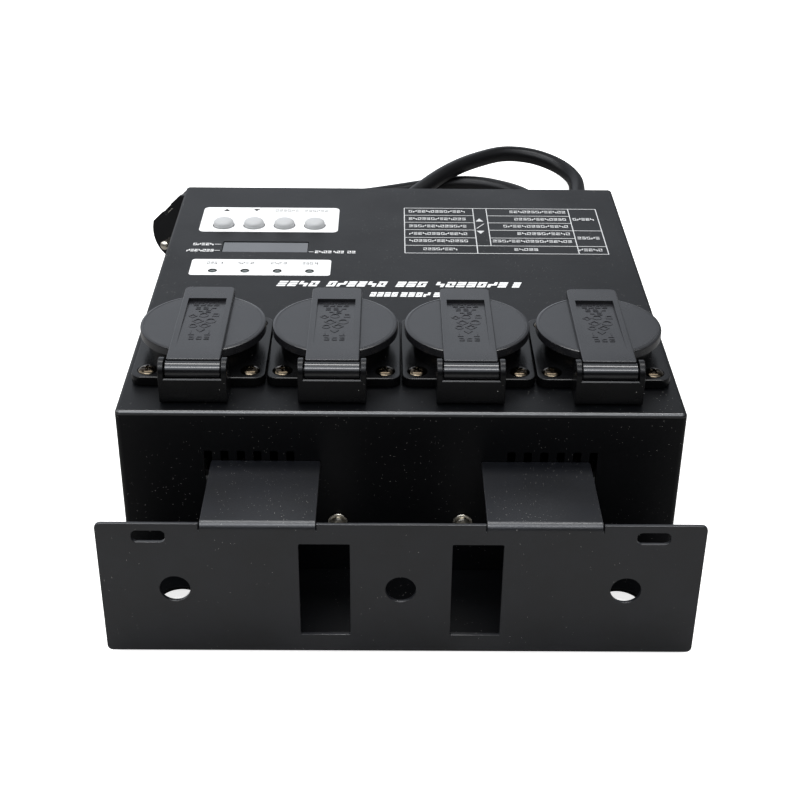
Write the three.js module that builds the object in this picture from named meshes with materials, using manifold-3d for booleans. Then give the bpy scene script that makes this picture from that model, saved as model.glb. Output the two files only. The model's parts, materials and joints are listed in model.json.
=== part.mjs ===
// Four-way dimmer pack: sheet steel box, four flanged outlets with sprung lids, a bent front bracket
// Millimetres, +Z up, the front bracket towards -Y, the floor at z = 0

import * as THREE from 'three';
import { mergeVertices } from 'three/addons/utils/BufferGeometryUtils.js';
import Module from 'manifold-3d';

const wasm = await Module();
wasm.setup();

// General clearances and small values
const seatGap = 0.3;
const overrun = 1;
const sheetGap = 0.3;
const weldDistance = 0.0001;

// Steel cover, as wide as its row of outlets with a margin at each side
const coverMargin = 3;
const coverDepth = 214;
const coverHeight = 69.3;
const coverSheet = 1.2;
const coverBend = 1.5;
const returnFlange = 12;

// Base sheet, with its front leaf out to the bracket
const baseSheet = 1.5;
const baseInset = 0.6;
const leafHoleRadius = 8;
const leafHoleInset = 21.5;
const leafHoleForward = 19;

// Rubber feet and their screws
const footHeight = 5;
const footRadius = 8;
const footTopRadius = 7;
const footWellRadius = 3.6;
const footWellDepth = 2.2;
const footInset = 14;
const footScrewRadius = 1.5;
const footScrewLength = 9;
const footScrewHeadRadius = 3;
const footScrewHeadHeight = 1.4;

// Front bracket
const bracketReach = 40.8;
const bracketOverhang = 2;
const bracketSheet = 1.5;
const bracketTopDrop = 20.2;
const bracketFloorGap = 1;
const bracketCorner = 2;
const tongueInset = 33.8;
const tongueWidth = 39.8;
const tongueBend = 2.6;
const windowWidth = 17.7;
const windowHeight = 39.5;
const windowAcross = 26.6;
const windowDrop = 8.3;
const windowCorner = 0.4;
const mountHoleRadius = 5.35;
const mountHoleInset = 26;
const slotLength = 12.8;
const slotHeight = 4.8;
const slotCornerShare = 0.49;
const slotInset = 17.5;
const slotDrop = 5.3;

// Front wall vents and screws
const ventCount = 6;
const ventPitch = 6;
const ventWidth = 3;
const ventLength = 20;
const ventTopDrop = 16.3;
const ventInset = 32.7;
const ventCornerShare = 0.25;
const frontScrewAcross = 23.3;
const frontScrewDrop = 47;
const frontScrewHead = 2.6;
const frontScrewHeadHeight = 1.9;
const frontScrewDomeShares = [[1, 0], [0.9, 0.6], [0.5, 1]];
const frontWasherRadius = 3.6;
const frontWasherHeight = 0.7;
const frontScrewRadius = 1.5;
const frontScrewLength = 5;

// Flanged outlets
const outletCount = 4;
const outletFlange = 49.5;
const outletGap = 0.5;
const outletFront = 18.2;
const flangeTop = 3.85;
const flangeCorner = 4;
const collarInset = 3.95;
const collarTop = 9.7;
const collarWall = 1.6;
const wellDepth = 17.5;
const wellFloor = 2;
const bodyDepth = 26;
const bodyWall = 1.8;
const pinHoleRadius = 2.6;
const pinHoleSpacing = 19;
const flangeScrewInset = 5.75;

// Flange screws
const flangeScrewHead = 3.5;
const flangeScrewHeadHeight = 1.5;
const flangeScrewCrownShare = 0.7;
const flangeScrewRadius = 1.5;
const flangeScrewLength = 9;
const counterboreDepth = 0.8;
const crossLength = 4.4;
const crossWidth = 1;
const crossDepth = 0.8;

// Earth strap inside each outlet
const strapWidth = 4.4;
const strapSheet = 0.8;
const strapInset = 1.8;
const strapRise = 13;
const strapBowShare = 0.6;
const strapBulge = 1.6;
const strapDrop = 1.2;
const strapSlotGap = 0.5;

// Hinge of each lid
const hingeAxisForward = 7.9;
const hingeAxisHeight = 11.4;
const barrelRadius = 3.5;
const barrelLength = 20;
const hingePinRadius = 1.25;
const hingePinLength = 24.2;
const hingeBlockWidth = 24.7;
const hingeBlockFront = 4.7;
const hingeBlockTop = 10.2;
const hingeBlockBack = 7.6;
const hingeBlockFoot = 0.6;
const earThickness = 2.05;
const earRadius = 4.7;

// Lid
const lidInset = 1;
const lidOffset = 1;
const lidTop = 13.6;
const lidSheet = 1.8;
const lidSkirt = 3.3;
const lidWall = 1.3;
const lidEdge = 0.6;
const armWidth = 19.5;
const armTop = 15.5;
const armThickness = 3.3;
const armNear = 1;
const armOverhang = 3.1;
const armCorner = 2.5;
const recessWidth = 14.7;
const recessNear = 9.2;
const recessFarInset = 10.3;
const recessDepth = 1;

// Control strip, display and indicators
const controlInset = 43.5;
const controlPitch = 13.85;
const controlCount = 4;
const buttonFromRear = 46.8;
const buttonRadius = 4.6;
const buttonRise = 3;
const buttonCrown = 1.2;
const buttonCrownShare = 0.72;
const buttonShoulderShares = [0.86, 0.67];
const buttonSkirt = 5.6;
const buttonSkirtHeight = 1;
const buttonTravel = 0.8;
const displayWidth = 38;
const displayLength = 11.2;
const displayFromRear = 70.5;
const displayLip = 2;
const displayThickness = 1.6;
const displayModuleWidth = 34;
const displayModuleLength = 12;
const displayModuleHeight = 6;
const displayModuleFootShare = 0.67;
const indicatorFromRear = 95.6;
const indicatorRadius = 1.6;
const indicatorBarWidth = 5;
const indicatorBarHeight = 2;
const indicatorOverhang = 4;

// Circuit boards
const boardThickness = 1.6;
const controlBoardDrop = 13;
const controlBoardWidth = 68;
const controlBoardFrontMargin = 8.4;
const controlBoardRearMargin = 18.8;
const spacerRadius = 2.5;
const spacerInset = 4;
const switchSize = 6;
const switchStemRadius = 1.5;
const powerBoardSideGap = 28;
const powerBoardFrontGap = 10.25;
const powerBoardHeight = 6;
const transformerWidth = 42;
const transformerLength = 36;
const transformerHeight = 32;
const transformerGap = 2.3;
const chokeRadius = 9;
const chokeHole = 3.6;
const chokeHeight = 10;
const relayWidth = 12;
const relayLength = 20;
const relayHeight = 14;

// Heat sink behind the front vents
const sinkSideGap = 28;
const sinkFoot = 5.6;
const sinkPlate = 4;
const sinkFinLength = 8;
const sinkFinSheet = 1.6;
const sinkFinPitch = 7.3;
const sinkDrop = 28;

// Signal sockets on the rear wall
const signalFlangeWidth = 26;
const signalFlangeHeight = 31;
const signalFlange = 2;
const signalCorner = 3;
const signalShell = 11.6;
const signalDepth = 20;
const signalWell = 8.2;
const signalWellDepth = 14;
const signalPinRadius = 1.2;
const signalPinCircle = 4.1;
const signalPinCount = 3;
const signalPinLength = 11;
const signalInsert = 7.9;
const signalInset = 35;
const signalPitch = 36;
const signalDrop = 36;
const signalRivetRadius = 1.7;
const signalRivetRise = 0.9;
const signalRivetAcross = 9.5;
const signalRivetUp = 12;

// Mains cord, its strain relief and its plug
const cordRadius = 4.8;
const cordSides = 8;
const cordStep = 19;
const reliefInset = 19;
const reliefDrop = 40;
const reliefCollar = 9;
const reliefCollarLength = 4;
const reliefLength = 27;
const reliefTip = 5.9;
const reliefNeck = 6;
const reliefNut = 8.4;
const reliefNutLength = 6;
const plugFaceRadius = 18.6;
const plugFaceLength = 12;
const plugNeckRadius = 17;
const plugNeckLength = 3;
const plugFlangeRadius = 19.4;
const plugFlangeLength = 3;
const plugGripTip = 10.2;
const plugGripLength = 24;
const plugTailRadius = 7.8;
const plugTailTip = 5.9;
const plugTailLength = 6;
const plugPinRadius = 2.4;
const plugPinLength = 19;
const plugPinSpacing = 19;
const plugPinTipShare = 0.5;
const plugEarthWidth = 6;
const plugEarthDepth = 2.6;
const plugFaceEdge = 1;
const plugFlat = 16.3;
const plugFaceFlat = 15.3;
const plugTurn = Math.PI / 4;

// Widths and radii that follow from the sizes above
const outletPitch = outletFlange + outletGap;
const coverWidth = outletCount * outletPitch + 2 * coverMargin;
const bracketWidth = coverWidth + 2 * bracketOverhang;
const collarRadius = outletFlange / 2 - collarInset;
const wellRadius = collarRadius - collarWall;
const flangeScrewAcross = outletFlange / 2 - flangeScrewInset;
const strapAcross = wellRadius - strapInset;
const lidRadius = outletFlange / 2 - lidInset;
const armFar = outletFlange + hingeAxisForward + armOverhang;
const recessFar = armFar - recessFarInset;
const tongueOuter = coverWidth / 2 - tongueInset;
const tongueInner = tongueOuter - tongueWidth;
const ventFirst = coverWidth / 2 - ventInset - (ventCount - 1) * ventPitch;
const powerBoardWidth = coverWidth - 2 * powerBoardSideGap;
const sinkWidth = coverWidth - 2 * sinkSideGap;

// Levels and places that follow from the sizes above
const baseBottom = footHeight + sheetGap;
const baseTop = baseBottom + baseSheet;
const coverBottom = baseTop + sheetGap;
const coverTop = coverBottom + coverHeight;
const rearReach = signalFlange + seatGap + signalRivetRise;
const faceY = (bracketReach - coverDepth - rearReach) / 2;
const rearY = faceY + coverDepth;
const outletY = faceY + outletFront + outletFlange / 2;
const bracketTop = coverTop - bracketTopDrop;
const bracketBottom = bracketFloorGap;
const hingeY = -outletFlange / 2 - hingeAxisForward;
const buttonY = rearY - buttonFromRear;
const displayY = rearY - displayFromRear;
const indicatorY = rearY - indicatorFromRear;
const controlCentre = controlInset - coverWidth / 2;
const signalInput = signalInset - coverWidth / 2;
const signalOutput = signalInput + signalPitch;
const reliefAcross = coverWidth / 2 - reliefInset;
const outletX = (index) => (index - (outletCount - 1) / 2) * outletPitch;
const controlX = (index) => controlCentre + (index - (controlCount - 1) / 2) * controlPitch;

// Segments round a circle, for the sizes of round that the object has
const roundFine = 24;
const round = 16;
const roundCoarse = 8;

// Turns a closed three.js geometry into a solid
function solid(geometry) {
  const bare = geometry.index ? geometry.toNonIndexed() : geometry.clone();
  bare.deleteAttribute('normal');
  bare.deleteAttribute('uv');
  const merged = mergeVertices(bare, weldDistance);
  const mesh = new wasm.Mesh({
    numProp: 3,
    vertProperties: new Float32Array(merged.attributes.position.array),
    triVerts: new Uint32Array(merged.index.array),
  });
  mesh.merge();
  return new wasm.Manifold(mesh);
}

// Turns a solid back into a geometry with flat faces
function geometryOf(shape) {
  const mesh = shape.getMesh();
  const geometry = new THREE.BufferGeometry();
  const stride = mesh.numProp;
  const points = new Float32Array((mesh.vertProperties.length / stride) * 3);
  for (let i = 0; i < points.length / 3; i += 1) {
    points.set(mesh.vertProperties.subarray(i * stride, i * stride + 3), i * 3);
  }
  geometry.setAttribute('position', new THREE.BufferAttribute(points, 3));
  geometry.setIndex(Array.from(mesh.triVerts));
  geometry.computeVertexNormals();
  return geometry;
}

const joined = (first, ...others) => others.reduce((sum, part) => sum.add(part), first);
const cutBy = (first, ...others) => others.reduce((rest, part) => rest.subtract(part), first);

// A box between two corners
function block(low, high) {
  const size = high.map((value, axis) => value - low[axis]);
  const geometry = new THREE.BoxGeometry(size[0], size[1], size[2]);
  geometry.translate((low[0] + high[0]) / 2, (low[1] + high[1]) / 2, (low[2] + high[2]) / 2);
  return solid(geometry);
}

// A round bar along an axis named by a letter, from one coordinate to another
function bar(axis, radius, from, to, centre, segments = round) {
  const geometry = new THREE.CylinderGeometry(radius, radius, to - from, segments);
  const middle = (from + to) / 2;
  if (axis === 'x') {
    geometry.rotateZ(Math.PI / 2);
    geometry.translate(middle, centre[0], centre[1]);
  } else if (axis === 'y') {
    geometry.translate(centre[0], middle, centre[1]);
  } else {
    geometry.rotateX(Math.PI / 2);
    geometry.translate(centre[0], centre[1], middle);
  }
  return solid(geometry);
}

// A profile of [radius, height] points turned about a vertical axis
function turned(profile, x, y, segments = round) {
  const points = profile.map(([radius, height]) => new THREE.Vector2(radius, height));
  const geometry = new THREE.LatheGeometry(points, segments);
  geometry.rotateX(Math.PI / 2);
  geometry.translate(x, y, 0);
  return solid(geometry);
}

// A rectangle with round corners, as a flat outline
function roundedRectangle(width, height, radius, x = 0, y = 0) {
  const left = x - width / 2;
  const right = x + width / 2;
  const low = y - height / 2;
  const high = y + height / 2;
  const outline = new THREE.Shape();
  outline.moveTo(left + radius, low);
  outline.lineTo(right - radius, low);
  outline.absarc(right - radius, low + radius, radius, -Math.PI / 2, 0);
  outline.lineTo(right, high - radius);
  outline.absarc(right - radius, high - radius, radius, 0, Math.PI / 2);
  outline.lineTo(left + radius, high);
  outline.absarc(left + radius, high - radius, radius, Math.PI / 2, Math.PI);
  outline.lineTo(left, low + radius);
  outline.absarc(left + radius, low + radius, radius, Math.PI, Math.PI * 1.5);
  outline.closePath();
  return outline;
}

// An outline in X and Y, raised from one height to another
function raised(outline, from, to, curveSegments = 4) {
  const geometry = new THREE.ExtrudeGeometry(outline, {
    depth: to - from, bevelEnabled: false, curveSegments,
  });
  geometry.translate(0, 0, from);
  return solid(geometry);
}

// An outline in X and Z, pushed along Y from one coordinate to another
function pushedBack(outline, from, to, curveSegments = 4) {
  const geometry = new THREE.ExtrudeGeometry(outline, {
    depth: to - from, bevelEnabled: false, curveSegments,
  });
  geometry.rotateX(Math.PI / 2);
  geometry.translate(0, to, 0);
  return solid(geometry);
}

// An outline in Y and Z, pushed along X from one coordinate to another
function pushedAcross(outline, from, to, curveSegments = 6) {
  const geometry = new THREE.ExtrudeGeometry(outline, {
    depth: to - from, bevelEnabled: false, curveSegments,
  });
  geometry.rotateY(Math.PI / 2);
  geometry.rotateX(Math.PI / 2);
  geometry.translate(from, 0, 0);
  return solid(geometry);
}

function outlineOf(points) {
  return new THREE.Shape(points.map(([x, y]) => new THREE.Vector2(x, y)));
}

// Materials, one to a piece
function finish(color, roughness, metalness) {
  return new THREE.MeshStandardMaterial({ color, roughness, metalness });
}

const powderBlack = () => finish(0x1c1c1e, 0.42, 0.1);
const plasticBlack = () => finish(0x161617, 0.38, 0);
const rubberBlack = () => finish(0x141414, 0.8, 0);
const nickel = () => finish(0xb9b2a4, 0.3, 1);
const brassNickel = () => finish(0x8d7a55, 0.35, 1);
const springMetal = () => finish(0xc9b26a, 0.3, 1);
const buttonGrey = () => finish(0x9b9d9f, 0.5, 0);
const boardGreen = () => finish(0x1d4a2c, 0.6, 0);
const moduleBlack = () => finish(0x101012, 0.5, 0);
const filterGrey = () => finish(0x4a4a4e, 0.2, 0);
const clearWhite = () => finish(0xd8dcd8, 0.2, 0);
const aluminium = () => finish(0xb8bcc0, 0.35, 1);

const model = new THREE.Group();

function place(name, shape, material, group = model) {
  const mesh = new THREE.Mesh(geometryOf(shape), material);
  mesh.name = name;
  group.add(mesh);
  return mesh;
}

// Where the four feet stand
function footPlaces() {
  const across = coverWidth / 2 - footInset;
  const front = faceY + footInset;
  const rear = rearY - footInset;
  return {
    front_left: [-across, front],
    front_right: [across, front],
    rear_left: [-across, rear],
    rear_right: [across, rear],
  };
}

// Cover: five sides of folded sheet with inward flanges along the foot of both side walls
function cover() {
  const outline = roundedRectangle(
    coverWidth - 2 * coverBend, coverDepth - 2 * coverBend, coverBend / 2,
    0, faceY + coverDepth / 2,
  );
  const geometry = new THREE.ExtrudeGeometry(outline, {
    depth: coverHeight - coverBend,
    bevelThickness: coverBend,
    bevelSize: coverBend,
    bevelSegments: 2,
    curveSegments: 2,
  });
  geometry.translate(0, 0, coverBottom);
  const half = coverWidth / 2;
  const below = block(
    [-half - overrun, faceY - overrun, coverBottom - coverBend - overrun],
    [half + overrun, rearY + overrun, coverBottom],
  );
  const hollow = block(
    [-half + coverSheet, faceY + coverSheet, coverBottom - overrun],
    [half - coverSheet, rearY - coverSheet, coverTop - coverSheet],
  );
  let shape = cutBy(solid(geometry), below, hollow);
  for (const side of [-1, 1]) {
    const outer = side * (half - coverSheet / 2);
    const inner = side * (half - returnFlange);
    shape = shape.add(block(
      [Math.min(outer, inner), faceY + coverSheet / 2, coverBottom],
      [Math.max(outer, inner), rearY - coverSheet / 2, coverBottom + coverSheet],
    ));
  }
  return cutBy(shape, ...coverOpenings());
}

function ventOutline(x) {
  const centre = coverTop - ventTopDrop - ventLength / 2;
  return roundedRectangle(ventWidth, ventLength, ventWidth * ventCornerShare, x, centre);
}

// Everything that is punched out of the cover
function coverOpenings() {
  const cuts = [];
  const low = coverTop - coverSheet - overrun;
  const high = coverTop + overrun;
  for (let outlet = 0; outlet < outletCount; outlet += 1) {
    const centre = [outletX(outlet), outletY];
    cuts.push(bar('z', collarRadius + seatGap, low, high, centre, roundFine));
    for (const [x, y] of flangeScrewPlaces()) {
      cuts.push(bar(
        'z', flangeScrewRadius + seatGap, low, high, [centre[0] + x, centre[1] + y], roundCoarse,
      ));
    }
  }
  for (let control = 0; control < controlCount; control += 1) {
    const x = controlX(control);
    cuts.push(bar('z', buttonRadius + seatGap, low, high, [x, buttonY]));
    cuts.push(bar('z', indicatorRadius + seatGap, low, high, [x, indicatorY], roundCoarse));
  }
  cuts.push(block(
    [controlCentre - displayWidth / 2, displayY - displayLength / 2, low],
    [controlCentre + displayWidth / 2, displayY + displayLength / 2, high],
  ));
  const front = faceY - overrun;
  const behind = faceY + coverSheet + overrun;
  for (const side of [-1, 1]) {
    for (let vent = 0; vent < ventCount; vent += 1) {
      const x = side * (ventFirst + vent * ventPitch);
      cuts.push(pushedBack(ventOutline(x), front, behind, 1));
    }
    cuts.push(bar(
      'y', frontScrewRadius + seatGap, front, behind,
      [side * frontScrewAcross, coverTop - frontScrewDrop], roundCoarse,
    ));
  }
  const rearFrom = rearY - coverSheet - overrun;
  const rearTo = rearY + overrun;
  for (const x of [signalInput, signalOutput]) {
    cuts.push(bar('y', signalShell + seatGap, rearFrom, rearTo, [x, coverTop - signalDrop]));
  }
  cuts.push(bar(
    'y', reliefNeck + seatGap, rearFrom, rearTo, [reliefAcross, coverTop - reliefDrop],
  ));
  for (const [x, y] of Object.values(footPlaces())) {
    cuts.push(bar(
      'z', footScrewRadius + seatGap, coverBottom - overrun, coverBottom + coverSheet + overrun,
      [x, y], roundCoarse,
    ));
  }
  return cuts;
}

// Base: a flat sheet under the cover whose front leaf reaches the bracket and turns down behind it
function base() {
  const half = coverWidth / 2 - baseInset;
  const front = faceY - bracketReach + bracketSheet + sheetGap;
  const rear = rearY - baseInset;
  const lipBottom = bracketBottom;
  let shape = joined(
    block([-half, front, baseBottom], [half, rear, baseTop]),
    block([-half, front, lipBottom], [half, front + baseSheet, baseTop]),
  );
  for (const [x, y] of Object.values(footPlaces())) {
    shape = shape.subtract(bar(
      'z', footScrewRadius + seatGap, baseBottom - overrun, baseTop + overrun, [x, y], roundCoarse,
    ));
  }
  for (const side of [-1, 1]) {
    const centre = [side * (coverWidth / 2 - leafHoleInset), faceY - leafHoleForward];
    shape = shape.subtract(
      bar('z', leafHoleRadius, baseBottom - overrun, baseTop + overrun, centre),
    );
  }
  return shape;
}

// Bracket: an upright front plate with two tongues bent back over the top to the box
function bracket() {
  const height = bracketTop - bracketBottom;
  const middle = (bracketTop + bracketBottom) / 2;
  const front = faceY - bracketReach;
  const back = front + bracketSheet;
  const plate = roundedRectangle(bracketWidth, height, bracketCorner, 0, middle);
  const windowCentre = bracketTop - windowDrop - windowHeight / 2;
  for (const side of [-1, 1]) {
    plate.holes.push(roundedRectangle(
      windowWidth, windowHeight, windowCorner, side * windowAcross, windowCentre,
    ));
    plate.holes.push(roundedRectangle(
      slotLength, slotHeight, slotHeight * slotCornerShare,
      side * (bracketWidth / 2 - slotInset), bracketTop - slotDrop,
    ));
  }
  let shape = pushedBack(plate, front, back, 1);
  const mountHoleAcross = bracketWidth / 2 - mountHoleInset;
  for (const x of [-mountHoleAcross, 0, mountHoleAcross]) {
    shape = shape.subtract(
      bar('y', mountHoleRadius, front - overrun, back + overrun, [x, middle]),
    );
  }
  for (const side of [-1, 1]) {
    const inner = side * tongueInner;
    const outer = side * tongueOuter;
    const left = Math.min(inner, outer);
    const right = Math.max(inner, outer);
    shape = shape.subtract(block(
      [left, front - overrun, bracketTop - tongueBend],
      [right, back + overrun, bracketTop + overrun],
    ));
    shape = shape.add(pushedAcross(tongueOutline(front), left, right));
  }
  return shape;
}

// Side view of one tongue: flat from the box, round over the bend, down into the plate
function tongueOutline(front) {
  const outline = new THREE.Shape();
  const tip = faceY - seatGap;
  const innerBend = tongueBend - bracketSheet;
  const centreY = front + tongueBend;
  const centreZ = bracketTop - tongueBend;
  const foot = centreZ - tongueBend;
  outline.moveTo(tip, bracketTop);
  outline.lineTo(centreY, bracketTop);
  outline.absarc(centreY, centreZ, tongueBend, Math.PI / 2, Math.PI, false);
  outline.lineTo(front, foot);
  outline.lineTo(front + bracketSheet, foot);
  outline.lineTo(front + bracketSheet, centreZ);
  outline.absarc(centreY, centreZ, innerBend, Math.PI, Math.PI / 2, true);
  outline.lineTo(tip, bracketTop - bracketSheet);
  outline.closePath();
  return outline;
}

// One rubber foot with a sunk well for its screw head
function foot(x, y) {
  const ring = turned([
    [0, footWellDepth],
    [footWellRadius, footWellDepth],
    [footWellRadius, 0],
    [footRadius - seatGap, 0],
    [footRadius, seatGap],
    [footTopRadius, footHeight],
    [0, footHeight],
  ], x, y);
  const hole = bar(
    'z', footScrewRadius + seatGap, footWellDepth - overrun, footHeight + overrun, [x, y], roundCoarse,
  );
  return ring.subtract(hole);
}

function footScrew(x, y) {
  const headTop = footWellDepth - seatGap;
  return turned([
    [0, headTop - footScrewHeadHeight],
    [footScrewHeadRadius, headTop - footScrewHeadHeight],
    [footScrewHeadRadius, headTop],
    [footScrewRadius, headTop],
    [footScrewRadius, headTop + footScrewLength],
    [0, headTop + footScrewLength],
  ], x, y, roundCoarse);
}

// Screw and washer through the front wall into the heat sink
function frontScrew(side) {
  const headFoot = seatGap + frontWasherHeight;
  const dome = frontScrewDomeShares.map(([out, up]) => [
    frontScrewHead * out, headFoot + frontScrewHeadHeight * up,
  ]);
  const profile = [
    [0, -frontScrewLength - coverSheet],
    [frontScrewRadius, -frontScrewLength - coverSheet],
    [frontScrewRadius, seatGap],
    [frontWasherRadius, seatGap],
    [frontWasherRadius, headFoot],
    ...dome,
    [0, headFoot + frontScrewHeadHeight],
  ].map(([radius, height]) => new THREE.Vector2(radius, height));
  const geometry = new THREE.LatheGeometry(profile, roundCoarse);
  geometry.rotateX(Math.PI);
  geometry.translate(side * frontScrewAcross, faceY, coverTop - frontScrewDrop);
  return solid(geometry);
}

// The four screw places of one flange, about its centre
function flangeScrewPlaces() {
  const places = [];
  for (const y of [-flangeScrewAcross, flangeScrewAcross]) {
    for (const x of [-flangeScrewAcross, flangeScrewAcross]) {
      places.push([x, y]);
    }
  }
  return places;
}

// Outlet body, drawn about the flange's centre with z = 0 on the top of the cover
function outletBody() {
  const flange = raised(
    roundedRectangle(outletFlange, outletFlange, flangeCorner), seatGap, flangeTop, 2,
  );
  const floorTop = collarTop - wellDepth;
  const floorBottom = floorTop - wellFloor;
  const cup = turned([
    [0, floorBottom],
    [collarRadius - bodyWall, floorBottom],
    [collarRadius - bodyWall, -bodyDepth],
    [collarRadius, -bodyDepth],
    [collarRadius, collarTop],
    [wellRadius, collarTop],
    [wellRadius, floorTop],
    [0, floorTop],
  ], 0, 0, roundFine);
  const wellCut = bar('z', wellRadius, floorTop, collarTop + overrun, [0, 0], roundFine);
  const cuts = [];
  for (const side of [-1, 1]) {
    const x = side * pinHoleSpacing / 2;
    cuts.push(bar('z', pinHoleRadius, floorBottom - overrun, floorTop + overrun, [x, 0], roundCoarse));
    const slotHalf = strapWidth / 2 + strapSlotGap;
    const slotMiddle = side * strapAcross;
    const slotReach = strapSheet / 2 + strapSlotGap;
    cuts.push(block(
      [-slotHalf, slotMiddle - slotReach, floorBottom - overrun],
      [slotHalf, slotMiddle + slotReach, floorTop + overrun],
    ));
  }
  for (const place of flangeScrewPlaces()) {
    cuts.push(bar('z', flangeScrewRadius + seatGap, 0, flangeTop + overrun, place, roundCoarse));
    cuts.push(bar(
      'z', flangeScrewHead + seatGap, flangeTop - counterboreDepth, flangeTop + overrun, place,
      roundCoarse,
    ));
  }
  return cutBy(joined(flange.subtract(wellCut), cup, hingeBlock()), ...cuts);
}

// Block in front of the flange with a trough for the barrel and an ear at each end
function hingeBlock() {
  const half = hingeBlockWidth / 2;
  const front = hingeY - hingeBlockFront;
  const rear = -outletFlange / 2 + flangeCorner;
  const low = outlineOf([
    [front, hingeBlockFoot],
    [rear, hingeBlockFoot],
    [rear, flangeTop],
    [hingeY + hingeBlockFront + seatGap, hingeBlockBack],
    [hingeY, hingeBlockBack],
    [hingeY, hingeBlockTop],
    [front, hingeBlockTop],
  ]);
  const trough = bar(
    'x', barrelRadius + seatGap, -half - overrun, half + overrun, [hingeY, hingeAxisHeight],
  );
  let shape = pushedAcross(low, -half, half).subtract(trough);
  for (const side of [-1, 1]) {
    const inner = side * (half - earThickness);
    const outer = side * half;
    shape = shape.add(pushedAcross(earOutline(), Math.min(inner, outer), Math.max(inner, outer)));
  }
  const pinHole = bar(
    'x', hingePinRadius + seatGap, -half - overrun, half + overrun,
    [hingeY, hingeAxisHeight], roundCoarse,
  );
  return shape.subtract(pinHole);
}

// Side view of an ear: round over the pin, straight down at the front, sloping to the flange behind
function earOutline() {
  const outline = new THREE.Shape();
  const front = hingeY - earRadius;
  const back = hingeY + earRadius;
  outline.moveTo(front, hingeBlockFoot);
  outline.lineTo(-outletFlange / 2 + overrun, hingeBlockFoot);
  outline.lineTo(-outletFlange / 2 + overrun, flangeTop);
  outline.lineTo(back, hingeBlockBack);
  outline.lineTo(back, hingeAxisHeight);
  outline.absarc(hingeY, hingeAxisHeight, earRadius, 0, Math.PI, false);
  outline.closePath();
  return outline;
}

// Lid, closed, in the same place and frame as the body
function outletLid() {
  const skirtFoot = lidTop - lidSkirt;
  const cap = turned([
    [0, lidTop - lidSheet],
    [lidRadius - lidWall, lidTop - lidSheet],
    [lidRadius - lidWall, skirtFoot],
    [lidRadius, skirtFoot],
    [lidRadius, lidTop - lidEdge],
    [lidRadius - lidEdge, lidTop],
    [0, lidTop],
  ], 0, lidOffset, roundFine);
  const near = hingeY + armNear;
  const armLength = armFar - armNear;
  const armPlan = roundedRectangle(armWidth, armLength, armCorner, 0, near + armLength / 2);
  const neck = block(
    [-armWidth / 2, near, armTop - armThickness],
    [armWidth / 2, near + armCorner + overrun, armTop],
  );
  const arm = raised(armPlan, armTop - armThickness, armTop, 3).add(neck);
  const barrel = bar(
    'x', barrelRadius, -barrelLength / 2, barrelLength / 2, [hingeY, hingeAxisHeight],
  );
  const recess = pushedAcross(outlineOf([
    [hingeY + recessNear, armTop],
    [hingeY + recessNear, armTop + overrun],
    [hingeY + recessFar, armTop + overrun],
    [hingeY + recessFar, armTop - recessDepth],
  ]), -recessWidth / 2, recessWidth / 2);
  const bore = bar(
    'x', hingePinRadius + seatGap, -barrelLength, barrelLength,
    [hingeY, hingeAxisHeight], roundCoarse,
  );
  return cutBy(joined(cap, arm, barrel), recess, bore);
}

function hingePin() {
  return bar(
    'x', hingePinRadius, -hingePinLength / 2, hingePinLength / 2,
    [hingeY, hingeAxisHeight], roundCoarse,
  );
}

// Countersunk screw with a domed head and a cross recess
function flangeScrew(x, y) {
  const seat = flangeTop - counterboreDepth + seatGap;
  const top = seat + flangeScrewHeadHeight;
  const body = turned([
    [0, seat - flangeScrewLength],
    [flangeScrewRadius, seat - flangeScrewLength],
    [flangeScrewRadius, seat],
    [flangeScrewHead, seat],
    [flangeScrewHead, seat + flangeScrewHeadHeight / 2],
    [flangeScrewHead * flangeScrewCrownShare, top],
    [0, top],
  ], x, y, roundCoarse);
  const arms = joined(
    block(
      [x - crossLength / 2, y - crossWidth / 2, top - crossDepth],
      [x + crossLength / 2, y + crossWidth / 2, top + overrun],
    ),
    block(
      [x - crossWidth / 2, y - crossLength / 2, top - crossDepth],
      [x + crossWidth / 2, y + crossLength / 2, top + overrun],
    ),
  );
  return body.subtract(arms);
}

// Earth strap: two bowed spring fingers in the well, joined by a strip under its floor
function earthStrap() {
  const floorTop = collarTop - wellDepth;
  const stripTop = floorTop - wellFloor - strapDrop;
  const tip = floorTop + strapRise;
  const bow = floorTop + strapRise * strapBowShare;
  const outer = strapAcross + strapSheet / 2;
  const inner = strapAcross - strapSheet / 2;
  const outline = outlineOf([
    [-outer, stripTop - strapSheet],
    [outer, stripTop - strapSheet],
    [outer, floorTop],
    [outer - strapBulge, bow],
    [outer, tip],
    [inner, tip],
    [inner - strapBulge, bow],
    [inner, floorTop],
    [inner, stripTop],
    [-inner, stripTop],
    [-inner, floorTop],
    [-inner + strapBulge, bow],
    [-inner, tip],
    [-outer, tip],
    [-outer + strapBulge, bow],
    [-outer, floorTop],
  ]);
  return pushedAcross(outline, -strapWidth / 2, strapWidth / 2);
}

// The four outlets, each a group with its body, strap, screws, pin and lid
function addOutlets() {
  for (let outlet = 0; outlet < outletCount; outlet += 1) {
    const number = outlet + 1;
    const group = new THREE.Group();
    group.position.set(outletX(outlet), outletY, coverTop);
    model.add(group);
    place(`outlet_body_${number}`, outletBody(), plasticBlack(), group);
    place(`earth_strap_${number}`, earthStrap(), springMetal(), group);
    place(`outlet_lid_${number}`, outletLid(), plasticBlack(), group);
    place(`hinge_pin_${number}`, hingePin(), nickel(), group);
    flangeScrewPlaces().forEach(([x, y], index) => {
      place(`flange_screw_${number}_${index + 1}`, flangeScrew(x, y), brassNickel(), group);
    });
  }
}

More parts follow.
